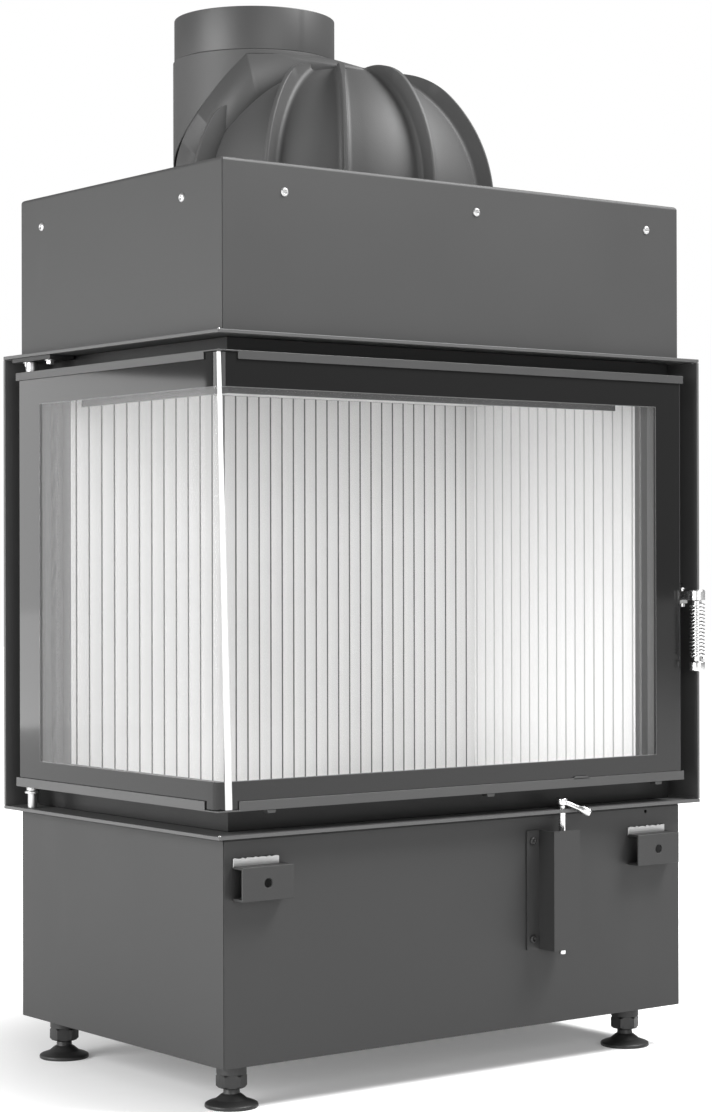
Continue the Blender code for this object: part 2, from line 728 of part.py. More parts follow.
def build_hinge(unit):
    axis = (hinge_x, hinge_y)
    bracket_high = bay_top - SEAM
    bracket_low = bracket_high - HINGE_BRACKET_THICKNESS
    end_y = hinge_y + HINGE_BRACKET_REAR
    start = (-PLATE_PROUD, end_y - HINGE_BRACKET_LENGTH, bracket_low)
    slab = box(start, (HINGE_BRACKET_WIDTH - PLATE_PROUD, end_y, bracket_high))
    bracket = piece("hinge_top_bracket", slab, unit, "black_iron")
    pin_end = door_top - TOP_RAIL_HEIGHT + HINGE_PIN_END_GAP
    join(bracket, rod("z", axis, HINGE_PIN_RADIUS, pin_end, bracket_high - HINGE_BRACKET_THICKNESS / 2))
    base = bay_bottom + SEAM
    washer_low = base + HINGE_POST_HEIGHT
    washer_high = washer_low + HINGE_WASHER_HEIGHT
    top = door_bottom + BOTTOM_RAIL_HEIGHT - HINGE_PIN_END_GAP
    profile = [(0, top), (HINGE_PIN_RADIUS, top), (HINGE_PIN_RADIUS, washer_high)]
    profile += [(HINGE_WASHER_RADIUS, washer_high), (HINGE_WASHER_RADIUS, washer_low)]
    profile += [(HINGE_POST_RADIUS, washer_low), (HINGE_POST_RADIUS, base), (0, base)]
    piece("hinge_bottom_post", turned(profile, axis, SMALL_STEPS), unit, "zinc", smooth=True)


def coil_points(centre, low, high):
    """One helix round the grip's core, whose ends turn upright and run straight into the caps."""
    radius = GRIP_RADIUS - COIL_WIRE_RADIUS
    end_run = 2 * COIL_WIRE_RADIUS
    bend = 2 * COIL_WIRE_RADIUS
    first = low + end_run + bend
    last = high - end_run - bend
    total = COIL_TURNS * COIL_POINTS_PER_TURN

    def spot(turn, height):
        return (centre[0] + radius * math.cos(turn), centre[1] + radius * math.sin(turn), height)

    points = []
    for index in range(total + 1):
        height = first + (last - first) * index / total
        points.append(spot(2 * math.pi * index / COIL_POINTS_PER_TURN, height))
    for lean in np.radians((30, 60, 90)):
        swing = bend * math.sin(lean) / radius
        climb = bend * (1 - math.cos(lean))
        points.append(spot(2 * math.pi * COIL_TURNS + swing, last + climb))
        points.insert(0, spot(-swing, first - climb))
    points.append((*points[-1][:2], high))
    points.insert(0, (*points[0][:2], low))
    return points


def least_gap(points):
    """Smallest distance between turns of a tube, from its centre line less its diameter."""
    line = np.array(points)
    far = COIL_POINTS_PER_TURN // 2
    starts = range(len(line) - far)
    nearest = min(np.linalg.norm(line[index + far:] - line[index], axis=1).min() for index in starts)
    return nearest - 2 * COIL_WIRE_RADIUS


def tube(name, points, radius, carrier, finish):
    line = bpy.data.curves.new(name, "CURVE")
    line.dimensions = "3D"
    line.bevel_depth = radius
    line.bevel_resolution = 1
    line.use_fill_caps = True
    spline = line.splines.new("POLY")
    spline.points.add(len(points) - 1)
    for point, place in zip(spline.points, points):
        point.co = (*place, 1)
    item = add(name, line, carrier)
    line.materials.append(material(finish))
    return item


def build_handle(door, handle):
    pivot = (handle_x, handle_y)
    arm_top = handle_top
    arm_low = arm_top - HANDLE_ARM_HEIGHT
    half = HANDLE_ARM_WIDTH / 2
    grip = (handle_x, handle_y - HANDLE_REACH)
    lug_high = arm_low - RUNNING_GAP
    lug_low = lug_high - HANDLE_LUG_THICKNESS
    start = (door_right + SEAM, handle_y - half, lug_low)
    lug = piece("handle_lug", box(start, (handle_x + half, door_back, lug_high)), door, "door_steel")
    bore = HANDLE_BOLT_RADIUS + SEAM
    cut(lug, rod("z", pivot, bore, lug_low - OVERRUN, lug_high + OVERRUN))
    nut_low = arm_top + RUNNING_GAP
    bolt_low = lug_low - SEAM
    head = HANDLE_NUT_RADIUS
    rise = HANDLE_NUT_HEIGHT
    dome = [(head * math.cos(a), nut_low + rise * math.sin(a)) for a in np.radians((60, 30, 0))]
    profile = [(0, nut_low + rise), *dome, (HANDLE_BOLT_RADIUS, nut_low)]
    profile += [(HANDLE_BOLT_RADIUS, bolt_low), (head, bolt_low), (head, bolt_low - rise)]
    profile += [(0, bolt_low - rise)]
    piece("handle_bolt", turned(profile, pivot, SMALL_STEPS), door, "bright_metal", smooth=True)
    arm = box((handle_x - half, grip[1], arm_low), (handle_x + half, handle_y + half, arm_top))
    lever = piece("handle_lever", arm, handle, "bright_metal")
    cap_low = arm_top - HANDLE_ARM_HEIGHT / 2 - GRIP_CAP_HEIGHT / 2
    cap_high = cap_low + GRIP_CAP_HEIGHT + GRIP_CAP_ROUND
    edge = GRIP_CAP_ROUND
    profile = [(0, cap_high), (GRIP_RADIUS - edge, cap_high), (GRIP_RADIUS, cap_high - edge)]
    profile += [(GRIP_RADIUS, cap_low), (0, cap_low)]
    join(lever, turned(profile, grip, SMALL_STEPS))
    hook_low = arm_low + (HANDLE_ARM_HEIGHT - HANDLE_HOOK_HEIGHT) / 2
    hook_high = hook_low + HANDLE_HOOK_HEIGHT
    thin = HANDLE_HOOK_WIDTH / 2
    hook_end = handle_y + half + HANDLE_HOOK_LENGTH
    stem = box((handle_x - thin, handle_y, hook_low), (handle_x + thin, hook_end, hook_high))
    nose_right = strike_left() - STRIKE_PLAY
    nose = box((handle_x, hook_end - HANDLE_HOOK_WIDTH, hook_low), (nose_right, hook_end, hook_high))
    join(lever, stem, nose)
    cut(lever, rod("z", pivot, bore, arm_low - OVERRUN, arm_top + OVERRUN))
    coil_high = cap_low - SEAM
    coil_low = coil_high - COIL_LENGTH
    core_low = coil_low - SEAM - GRIP_CAP_HEIGHT
    shoulder = coil_low - SEAM
    profile = [(0, coil_high), (GRIP_CORE_RADIUS, coil_high), (GRIP_CORE_RADIUS, shoulder)]
    profile += [(GRIP_RADIUS, shoulder), (GRIP_RADIUS, core_low + edge)]
    profile += [(GRIP_RADIUS - edge, core_low), (0, core_low)]
    piece("grip_core", turned(profile, grip, SMALL_STEPS), handle, "bright_metal", smooth=True)
    points = coil_points(grip, coil_low, coil_high)
    tube("grip_coil", points, COIL_WIRE_RADIUS, handle, "bright_metal")
    print(f"grip_coil: least gap to itself {1000 * least_gap(points):.2f} mm")


def strike_left():
    """Free edge of the strike: it reaches from the right plate half way to the handle's pivot."""
    inner = plate_right - RIGHT_PLATE_THICKNESS
    return inner - (inner - handle_x) / 2


def build_strike(unit):
    inner = plate_right - RIGHT_PLATE_THICKNESS
    middle = handle_top - HANDLE_ARM_HEIGHT / 2
    hook_rear = handle_y + HANDLE_ARM_WIDTH / 2 + HANDLE_HOOK_LENGTH
    high = hook_rear - HANDLE_HOOK_WIDTH - RUNNING_GAP
    start = (strike_left(), high - STRIKE_THICKNESS, middle - STRIKE_LENGTH / 2)
    piece("latch_strike", box(start, (inner - SEAM, high, middle + STRIKE_LENGTH / 2)), unit, "black_iron")


def build_air_control(unit, lever_body):
    rod_y = -ROD_PROUD
    low = guard_low
    high = guard_top
    sheet = GUARD_SHEET
    left = rod_x - GUARD_REACH
    side = left + GUARD_FLANGE_WIDTH
    face = -GUARD_PROUD
    back = -SEAM
    end = side + GUARD_FRONT_WIDTH
    section = [(left, back), (left, back - sheet), (side - sheet, back - sheet)]
    section += [(side - sheet, face), (end, face), (end, face + sheet), (side, face + sheet), (side, back)]
    guard = piece("air_guard", prism(section, "z", low, high), unit, "casing_steel")
    half = ROD_RADIUS + sheet
    for lug_low in (low + GUARD_LUG_INSET, high - GUARD_LUG_INSET - GUARD_LUG_THICKNESS):
        start = (side - sheet / 2, rod_y - half, lug_low)
        join(guard, box(start, (rod_x + half, rod_y + half, lug_low + GUARD_LUG_THICKNESS)))
    cut(guard, rod("z", (rod_x, rod_y), ROD_RADIUS + RUNNING_GAP, low - OVERRUN, high + OVERRUN))
    top = rod_top
    spindle = rod("z", (rod_x, rod_y), ROD_RADIUS, rod_low, top)
    lever = piece("air_lever", spindle, lever_body, "bright_metal", smooth=True)
    hub_low = top - LEVER_HUB_HEIGHT / 2
    join(lever, rod("z", (rod_x, rod_y), LEVER_HUB_RADIUS, hub_low, hub_low + LEVER_HUB_HEIGHT))
    bearing = math.radians(LEVER_BEARING)
    droop = math.radians(LEVER_DROOP)
    level = Vector((math.cos(bearing), math.sin(bearing), 0))
    direction = level * math.cos(droop) - Vector((0, 0, math.sin(droop)))
    centre = Vector((rod_x, rod_y, top))
    tip = centre + direction * LEVER_LENGTH
    join(lever, bar(centre, tip, LEVER_RADIUS))
    join(lever, bar(tip, tip + direction * LEVER_TIP_LENGTH, LEVER_TIP_RADIUS))
    crank_high = crank_low + CRANK_THICKNESS
    pin = (rod_x, rod_y + CRANK_LENGTH)
    half = CRANK_WIDTH / 2
    end = (rod_x + half, pin[1] + CRANK_PIN_RADIUS, crank_high)
    arm = box((rod_x - half, rod_y - half, crank_low), end)
    pin_low = crank_low - CRANK_PIN_LENGTH
    peg = rod("z", pin, CRANK_PIN_RADIUS, pin_low, crank_low + CRANK_THICKNESS / 2)
    axle = Matrix.Translation((rod_x, rod_y, 0))
    swing = axle @ Matrix.Rotation(math.radians(CRANK_SWEEP), 4, "Z") @ axle.inverted()
    for mesh in (arm, peg):
        mesh.transform(swing)
    crank = piece("air_crank", arm, lever_body, "black_iron")
    join(crank, peg)
    cut(crank, rod("z", (rod_x, rod_y), ROD_RADIUS + SEAM, crank_low - OVERRUN, crank_high + OVERRUN))


def bar(start, end, radius):
    """A round bar between two points."""
    axis = end - start
    turn = axis.to_track_quat("Z", "Y").to_matrix().to_4x4()
    frame = Matrix.Translation(start) @ turn
    rings = []
    for along in (0, axis.length):
        ring = [frame @ Vector((x, y, along)) for x, y in circle((0, 0), radius, SMALL_STEPS)]
        rings.append(ring)
    return loft(rings)


def build_air_box(unit, gate_body):
    sheet = AIR_BOX_SHEET
    low = casing_bottom + CASING_SHEET + TRAY_SHEET + 2 * SEAM
    right = air_box_left + AIR_BOX_WIDTH
    rear = AIR_BOX_FRONT + AIR_BOX_DEPTH
    start = (air_box_left, AIR_BOX_FRONT, low)
    case = piece("air_box", box(start, (right, rear, lower_top)), unit, "casing_steel")
    inner = (air_box_left + sheet, AIR_BOX_FRONT + sheet, low + sheet)
    cut(case, box(inner, (right - sheet, rear - sheet, lower_top + OVERRUN)))
    sweep = math.radians(CRANK_SWEEP)
    travel = CRANK_LENGTH * sweep
    middle = rod_x - travel
    gate_left = middle - GATE_WIDTH / 2
    gate_right = middle + GATE_WIDTH / 2
    window_left = rod_x + (GATE_WIDTH - AIR_WINDOW_WIDTH) / 2
    corner = (window_left, AIR_BOX_FRONT - OVERRUN, window_low)
    end = (window_left + AIR_WINDOW_WIDTH, AIR_BOX_FRONT + sheet + OVERRUN, window_low + AIR_WINDOW_HEIGHT)
    cut(case, box(corner, end))
    tab_high = crank_low - RUNNING_GAP
    tab_low = tab_high - GATE_THICKNESS
    gate_low = window_low - (GATE_HEIGHT - AIR_WINDOW_HEIGHT) / 2
    gate_rear = AIR_BOX_FRONT - SEAM
    gate_front = gate_rear - GATE_THICKNESS
    plate = box((gate_left, gate_front, gate_low), (gate_right, gate_rear, tab_high))
    gate = piece("air_gate", plate, gate_body, "black_iron")
    pin_y = CRANK_LENGTH - ROD_PROUD
    reach = CRANK_PIN_RADIUS + CRANK_PIN_PLAY
    slot_front = pin_y - CRANK_LENGTH * (1 - math.cos(sweep)) - reach
    half = GATE_TAB_WIDTH / 2
    tab_front = slot_front - GATE_THICKNESS
    tab_rear = gate_rear - GATE_THICKNESS / 2
    join(gate, box((middle - half, tab_front, tab_low), (middle + half, tab_rear, tab_high)))
    slot = (middle - reach, slot_front, tab_low - OVERRUN)
    cut(gate, box(slot, (middle + reach, pin_y + reach, tab_high + OVERRUN)))
    start = gate_left - GATE_LIP
    stop = gate_right + 2 * travel + GATE_LIP
    lip_front = gate_front - SEAM - sheet
    wall = AIR_BOX_FRONT + sheet / 2
    floor = gate_low - RUNNING_GAP
    section = [(wall, floor), (wall, floor - sheet), (lip_front, floor - sheet)]
    section += [(lip_front, floor + GATE_LIP), (lip_front + sheet, floor + GATE_LIP)]
    section += [(lip_front + sheet, floor)]
    join(case, prism(section, "x", start, stop))
    ceiling = tab_high + RUNNING_GAP
    join(case, box((start, gate_front, ceiling), (stop, wall, ceiling + sheet)))


def build_brackets(unit):
    sheet = BRACKET_SHEET
    face = -BRACKET_STANDOFF
    places = (
        ("left", BRACKET_LEFT_INSET, BRACKET_LEFT_DROP),
        ("right", CASING_WIDTH - BRACKET_RIGHT_INSET - BRACKET_WIDTH, BRACKET_RIGHT_DROP),
    )
    for side, left, drop in places:
        high = lower_top - drop
        low = high - BRACKET_HEIGHT
        section = [(-SEAM, low), (face, low), (face, high), (-SEAM, high), (-SEAM, high - sheet)]
        section += [(face + sheet, high - sheet), (face + sheet, low + sheet), (-SEAM, low + sheet)]
        name = f"facade_bracket_{side}"
        bracket = piece(name, prism(section, "x", left, left + BRACKET_WIDTH), unit, "casing_steel")
        centre = (left + BRACKET_WIDTH / 2, (low + high) / 2)
        cut(bracket, rod("y", centre, BRACKET_HOLE_RADIUS, face - OVERRUN, face + sheet + OVERRUN))


def build_feet(unit, foot_bodies):
    nut_high = casing_bottom - SLEEVE_HEIGHT - SEAM
    nut_low = nut_high - NUT_HEIGHT
    neck_high = nut_low - SEAM
    bore = SPINDLE_RADIUS + RUNNING_GAP
    top = casing_bottom + SPINDLE_RISE
    for name, x, y in foot_places:
        hexagon = rod("z", (x, y), NUT_RADIUS, nut_low, nut_high, NUT_SIDES)
        nut = piece(f"foot_nut_{name}", hexagon, unit, "black_iron")
        cut(nut, rod("z", (x, y), bore, nut_low - OVERRUN, nut_high + OVERRUN))
        profile = [(0, top), (SPINDLE_RADIUS, top), (SPINDLE_RADIUS, neck_high), (NECK_RADIUS, neck_high)]
        profile += [(NECK_RADIUS, PAD_HEIGHT), (PAD_RADIUS, PAD_RIM), (PAD_RADIUS, 0), (0, 0)]
        pad = turned(profile, (x, y), ROUND_STEPS)
        piece(f"foot_{name}", pad, foot_bodies[name], "black_iron", smooth=True)


def dome_profile():
    base = dome_z - DOME_SKIRT
    inner = dome_radius - DOME_WALL
    outside = arc((0, dome_z), dome_radius, 0, 90, DOME_STEPS)[:-1]
    inside = arc((0, dome_z), inner, 90, 0, DOME_STEPS)[1:]
    rim = dome_radius + DOME_FLANGE_WIDTH
    profile = [(rim, base), (rim, base + DOME_FLANGE_HEIGHT), (dome_radius, base + DOME_FLANGE_HEIGHT)]
    profile += [*outside, (0, dome_z + dome_radius), (0, dome_z + inner), *inside, (inner, base)]
    return profile


def on_meridian(reach, angle):
    """Radius and height of a point at some distance and angle above level from the dome's centre."""
    return reach * math.cos(math.radians(angle)), dome_z + reach * math.sin(math.radians(angle))


def rib_mesh(bearing, fall):
    """A blade on one meridian of the dome, whose crest drops to the dome between two angles above level."""
    base = dome_z - DOME_SKIRT + DOME_FLANGE_HEIGHT / 2
    root = dome_radius - DOME_WALL / 2
    crest = dome_radius + RIB_RISE
    outline = [(root, base), (crest, base), *arc((0, dome_z), crest, 0, fall[0], DOME_STEPS)]
    for share in np.linspace(0, 1, DOME_STEPS)[1:]:
        reach = root + (crest - root) * (1 - share**2)
        angle = fall[0] + (fall[1] - fall[0]) * share
        outline.append(on_meridian(reach, angle))
    outline += arc((0, dome_z), root, fall[1], 0, DOME_STEPS)[1:]
    angle = math.radians(bearing)
    outward = Vector((math.sin(angle), -math.cos(angle), 0))
    across = Vector((math.cos(angle), math.sin(angle), 0)) * RIB_THICKNESS / 2
    middle = Vector((dome_x, dome_y, 0))
    ring = [middle + outward * radius + Vector((0, 0, height)) for radius, height in outline]
    return loft([[point - across for point in ring], [point + across for point in ring]])


def elbow_frame():
    """Level direction, centre line and placing whose Z is the axis of the dome's slanted outlet."""
    bearing = math.radians(ELBOW_BEARING)
    tilt = math.radians(ELBOW_TILT)
    level = Vector((math.sin(bearing), -math.cos(bearing), 0))
    axis = level * math.cos(tilt) + Vector((0, 0, math.sin(tilt)))
    turn = axis.to_track_quat("Z", "Y").to_matrix().to_4x4()
    return level, axis, Matrix.Translation((dome_x, dome_y, dome_z)) @ turn


def slanted_ring(frame, radius, along, steps=ROUND_STEPS):
    return [frame @ Vector((x, y, along)) for x, y in circle((0, 0), radius, steps)]


def neck_ring(centre, radius, drop=0.0):
    """Where a round upright wall meets the slanted joint, or its top where the joint lies above it."""
    level = elbow_frame()[0]
    slope = 1 / math.tan(math.radians(ELBOW_TILT))
    ring = []
    for x, y in circle(centre, radius, ELBOW_STEPS):
        outward = Vector((x - centre[0], y - centre[1], 0)).dot(level)
        height = neck_top - JOINT_DROP - outward * slope
        ring.append(Vector((x, y, min(height, neck_top) - drop)))
    return ring


def level_ring(centre, radius, height):
    return [Vector((x, y, height)) for x, y in circle(centre, radius, ELBOW_STEPS)]


def clipped(points, *planes):
    """The hull of some points without what lies past each plane, given by a point and a direction."""
    work = bmesh.new()
    for point in points:
        work.verts.new(point)
    bmesh.ops.convex_hull(work, input=work.verts)
    bmesh.ops.delete(work, geom=[vert for vert in work.verts if not vert.link_faces], context="VERTS")
    for place, direction in planes:
        everything = [*work.verts, *work.edges, *work.faces]
        cuts = bmesh.ops.bisect_plane(work, geom=everything, plane_co=place, plane_no=direction, clear_outer=True)
        rim = [item for item in cuts["geom_cut"] if isinstance(item, bmesh.types.BMEdge)]
        bmesh.ops.contextual_create(work, geom=rim)
    bmesh.ops.triangulate(work, faces=work.faces)
    return finished(work)


def shoulder_point():
    """The casting's corner in front, a little proud of the dome."""
    turn = math.radians(SHOULDER_TURN)
    tilt = math.radians(SHOULDER_TILT)
    reach = dome_radius + SHOULDER_RISE
    level = Vector((math.sin(turn), -math.cos(turn), 0))
    return Vector((dome_x, dome_y, dome_z)) + (level * math.cos(tilt) + Vector((0, 0, math.sin(tilt)))) * reach


def build_dome(unit):
    base = dome_z - DOME_SKIRT
    outer = dome_radius
    rim = dome_radius - HOOD_SHEET + HOOD_RIM
    start = top_plate_top + SEAM
    hood_top = base - SEAM
    rim_low = hood_top - HOOD_SHEET
    profile = [(outer, start), (outer, rim_low), (rim, rim_low), (rim, hood_top)]
    profile += [(outer - HOOD_SHEET, hood_top), (outer - HOOD_SHEET, start)]
    place = (dome_x, dome_y)
    piece("smoke_hood", turned(profile[::-1], place), unit, "frame_steel", smooth=True)
    level, axis, frame = elbow_frame()
    neck = tuple(Vector(place) + level.xy * neck_offset)
    mouth = math.sqrt(dome_radius**2 - mouth_plane**2)
    hollow = math.sqrt((dome_radius - ELBOW_WALL)**2 - mouth_plane**2)
    bore = NECK_OUTER_RADIUS - ELBOW_WALL
    outside = slanted_ring(frame, mouth, mouth_plane - MOUTH_OVERLAP) + neck_ring(neck, NECK_OUTER_RADIUS, MOUTH_OVERLAP)
    outside += level_ring(neck, NECK_OUTER_RADIUS, neck_top)
    outside.append(shoulder_point())
    outside += level_ring(place, *on_meridian(dome_radius, SHOULDER_TOP_ANGLE))
    inside = slanted_ring(frame, hollow, mouth_plane - MOUTH_OVERLAP - OVERRUN) + neck_ring(neck, bore, MOUTH_OVERLAP)
    for height in (neck_top - COLLAR_SPIGOT_DEPTH - OVERRUN, neck_top + OVERRUN):
        inside += level_ring(neck, bore, height)
    joint = Vector((*neck, neck_top - JOINT_DROP))
    seat = Vector((*neck, neck_top - ELBOW_RING_HEIGHT))
    upward = Vector((0, 0, 1))
    dome = piece("flue_dome", turned(dome_profile(), place), unit, "cast_iron", smooth=True)
    reach = 2 * dome_radius
    cut(dome, loft([slanted_ring(frame, reach, mouth_plane, 8), slanted_ring(frame, reach, reach, 8)]))
    join(dome, clipped(outside, (joint - axis * SEAM, axis), (seat - upward * SEAM, upward)))
    join(dome, *[rib_mesh(bearing, RIB_FALL) for bearing in RIB_BEARINGS])
    join(dome, rib_mesh(SHORT_RIB_BEARING, SHORT_RIB_FALL))
    clear = dome_radius - DOME_WALL - HOLLOW_STEP
    ball = [(0, dome_z), *arc((0, dome_z), clear, 0, 90, DOME_STEPS)[:-1], (0, dome_z + clear)]
    cut(dome, turned(ball, place), hull(inside))
    elbow = piece("outlet_elbow", hull(outside), unit, "cast_iron", smooth=True)
    cut(elbow, hull(inside))
    block = [point for low in (-reach, reach) for point in slanted_ring(frame, reach, low, 8)]
    cut(elbow, clipped(block, (joint, axis), (seat, upward)))
    rim_top = neck_top + COLLAR_HEIGHT
    seat = neck_top + SEAM
    spigot = bore - SEAM
    spigot_inner = spigot - COLLAR_SPIGOT_WALL
    spigot_end = seat - COLLAR_SPIGOT_DEPTH
    ledge = seat + COLLAR_WALL
    inner = COLLAR_RADIUS - COLLAR_WALL
    profile = [(COLLAR_RADIUS, rim_top), (COLLAR_RADIUS, seat), (spigot, seat), (spigot, spigot_end)]
    profile += [(spigot_inner, spigot_end), (spigot_inner, ledge), (inner, ledge), (inner, rim_top)]
    piece("flue_collar", turned(profile, neck), unit, "frame_steel", smooth=True)


def build_inlet(unit):
    centre = inlet_centre
    near = CASING_DEPTH + SEAM
    inner = INLET_RADIUS - INLET_WALL
    disc = rod("y", centre, INLET_RADIUS + INLET_FLANGE, near, near + INLET_WALL, ROUND_STEPS)
    flange = piece("air_inlet_collar", disc, unit, "casing_steel", smooth=True)
    join(flange, rod("y", centre, INLET_RADIUS, near + INLET_WALL / 2, inlet_end, ROUND_STEPS))
    cut(flange, rod("y", centre, inner, near - OVERRUN, inlet_end + OVERRUN, ROUND_STEPS))


def build():
    clear_scene()
    unit = body("unit")
    unit.location = (-(plate_right - DOOR_PROUD) / 2, -(grip_front + inlet_end) / 2, 0)
    door = body("door", unit, (hinge_x, hinge_y, bay_bottom))
    handle = body("handle", door, (handle_x, handle_y, handle_top))
    lever = body("air_lever_body", unit, (rod_x, -ROD_PROUD, rod_top))
    gate = body("air_gate_body", unit, (rod_x, AIR_BOX_FRONT, window_low))
    feet = {name: body(f"foot_body_{name}", unit, (x, y, 0)) for name, x, y in foot_places}
    build_lower_casing(unit)
    build_upper_casing(unit)
    build_surround(unit)
    build_firebox(unit)
    build_lining(unit)
    build_door(door)
    build_hinge(unit)
    build_handle(door, handle)
    build_strike(unit)
    build_air_control(unit, lever)
    build_air_box(unit, gate)
    build_brackets(unit)
    build_feet(unit, feet)
    build_dome(unit)
    build_inlet(unit)


build()
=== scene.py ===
import json
import math

import bmesh
import bpy
import numpy as np
from mathutils import Matrix, Vector

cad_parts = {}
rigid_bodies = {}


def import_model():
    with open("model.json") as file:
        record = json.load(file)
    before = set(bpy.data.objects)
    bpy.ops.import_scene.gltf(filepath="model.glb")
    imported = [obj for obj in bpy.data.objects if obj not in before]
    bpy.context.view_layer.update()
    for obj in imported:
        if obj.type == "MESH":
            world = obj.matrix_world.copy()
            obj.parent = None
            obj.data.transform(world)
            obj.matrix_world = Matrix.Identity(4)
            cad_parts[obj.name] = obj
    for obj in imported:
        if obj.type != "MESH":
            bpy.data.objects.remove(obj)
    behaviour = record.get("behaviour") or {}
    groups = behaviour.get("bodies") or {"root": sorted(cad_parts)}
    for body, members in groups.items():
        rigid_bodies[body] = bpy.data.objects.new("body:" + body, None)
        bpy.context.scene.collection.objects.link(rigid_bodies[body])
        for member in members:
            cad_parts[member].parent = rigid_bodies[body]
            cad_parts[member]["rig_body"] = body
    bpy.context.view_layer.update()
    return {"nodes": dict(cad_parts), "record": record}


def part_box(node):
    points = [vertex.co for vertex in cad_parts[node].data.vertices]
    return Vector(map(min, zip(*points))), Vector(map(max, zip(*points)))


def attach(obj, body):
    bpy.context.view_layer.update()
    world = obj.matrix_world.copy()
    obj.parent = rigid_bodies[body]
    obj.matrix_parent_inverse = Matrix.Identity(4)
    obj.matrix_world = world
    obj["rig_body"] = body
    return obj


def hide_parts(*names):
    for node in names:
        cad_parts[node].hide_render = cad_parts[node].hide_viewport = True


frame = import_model()
cadNodes = frame["nodes"]
print("frame loaded:", len(cadNodes), "nodes")


# A socket of a material. Sums and products of sockets add the Math nodes they need.
class Wire:
    def __init__(self, finish, socket):
        self.finish = finish
        self.socket = socket

    def maths(self, operation, *others):
        inputs = dict(enumerate((self, *others)))
        return self.finish.node("ShaderNodeMath", {"operation": operation}, inputs)

    def __add__(self, other):
        return self.maths("ADD", other)

    def __radd__(self, other):
        return self.maths("ADD", other)

    def __sub__(self, other):
        return self.maths("SUBTRACT", other)

    def __rsub__(self, other):
        return (self * -1.0).maths("ADD", other)

    def __mul__(self, other):
        return self.maths("MULTIPLY", other)

    def __gt__(self, other):
        return self.maths("GREATER_THAN", other)

    def power(self, other):
        return self.maths("POWER", other)

    def largest(self, other):
        return self.maths("MAXIMUM", other)

    def size(self):
        return self.maths("ABSOLUTE")


# A material or world under construction, with one method for every kind of node.
class Finish:
    def __init__(self, name, world=None):
        self.material = world or bpy.data.materials.new(name)
        self.material.use_nodes = True
        self.tree = self.material.node_tree
        if world:
            self.tree.nodes.clear()
            return
        self.shader = self.tree.nodes["Principled BSDF"]
        self.place = self.node("ShaderNodeTexCoord", output="Object")

    # makes a shader the one that shows
    def shown(self, wire, kind="ShaderNodeOutputMaterial"):
        ends = [node for node in self.tree.nodes if node.bl_idname == kind]
        end = ends[0] if ends else self.tree.nodes.new(kind)
        self.tree.links.new(wire.socket, end.inputs["Surface"])

    def node(self, kind, settings=None, inputs=None, output=0):
        made = self.tree.nodes.new(kind)
        for key, value in (settings or {}).items():
            if key == "stops":
                ramp = made.color_ramp
                while len(ramp.elements) < len(value):
                    ramp.elements.new(0.5)
                for element, (position, tone) in zip(ramp.elements, value):
                    element.position = position
                    element.color = (tone, tone, tone, 1.0)
            else:
                setattr(made, key, value)
        for key, value in (inputs or {}).items():
            if isinstance(value, Wire):
                self.tree.links.new(value.socket, made.inputs[key])
            else:
                made.inputs[key].default_value = value
        return Wire(self, made.outputs[output])

    # fractal noise over the piece, in features per metre
    def noise(self, scale, detail=3.0, stretch=None):
        at = self.place if stretch is None else self.stretched(stretch)
        return self.node("ShaderNodeTexNoise", None, {"Vector": at, "Scale": scale, "Detail": detail})

    def stretched(self, factors):
        return self.node("ShaderNodeMapping", None, {"Vector": self.place, "Scale": factors})

    def ramp(self, wire, stops):
        return self.node("ShaderNodeValToRGB", {"stops": stops}, {"Fac": wire})

    def axes(self):
        return [self.node("ShaderNodeSeparateXYZ", None, {"Vector": self.place}, axis) for axis in range(3)]

    def mixed(self, share, first, second):
        settings = {"data_type": "RGBA"}
        inputs = {0: share, 6: first, 7: second}
        return self.node("ShaderNodeMix", settings, inputs, 2)

    # greys between two shares of the look's tone
    def shades(self, share, look, key):
        dark, pale = (grey(look["tone"] * part) for part in look[key])
        return self.mixed(share, dark, pale)

    def bump(self, height, strength, distance, under=None):
        inputs = {"Height": height, "Strength": strength, "Distance": distance}
        if under is not None:
            inputs["Normal"] = under
        return self.node("ShaderNodeBump", None, inputs)

    def rays(self):
        return [self.node("ShaderNodeLightPath", output=name) for name in
                ("Is Camera Ray", "Is Glossy Ray", "Is Transmission Ray")]

    def surface(self, constants, wires):
        for key, value in constants.items():
            self.shader.inputs[key].default_value = value
        for key, wire in wires.items():
            self.tree.links.new(wire.socket, self.shader.inputs[key])
        return self.material


def grey(tone, warm=0.0):
    return (tone * (1 + warm), tone, tone * (1 - warm), 1.0)


# Stove paint on sheet: an even grey with faint clouds, a fine grain and a few rubbed marks, and painted shade
# that darkens the grey towards the floor where the look asks for it.
def stovePaint(name, look):
    finish = Finish(name)
    clouds = finish.noise(look["cloudScale"], 4.0)
    grain = finish.noise(look["grainScale"], 2.0)
    rubbed = finish.ramp(finish.noise(look["rubScale"], 5.0, look["rubStretch"]), look["rubRamp"])
    # painted shade: below a height the grey falls to a share of itself, standing in for the weaker light near
    # the floor
    height = finish.axes()[2]
    low = finish.node("ShaderNodeMapRange", None,
                      {0: height, 1: look["floorShadeFrom"], 2: look["floorShadeTo"], 3: look["floorShadeShare"], 4: 1.0})
    plain = finish.shades(clouds, look, "cloudTones")
    base = finish.mixed(low, grey(0.0), plain)
    specks = finish.mixed(grain * look["grainTone"], base, grey(look["tone"] * look["speckTone"]))
    colour = finish.mixed(rubbed * look["rubTone"], specks, grey(look["tone"] * look["wornTone"]))
    rough = look["roughness"] + (clouds - 0.5) * look["cloudRough"] - rubbed * look["rubRough"]
    fine = finish.bump(grain, look["grainBump"], look["grainDepth"])
    normal = finish.bump(clouds, look["waveBump"], look["waveDepth"], fine)
    constants = {"Metallic": look["metallic"], "Specular IOR Level": look["specular"]}
    return finish.surface(constants, {"Base Color": colour, "Roughness": rough, "Normal": normal})


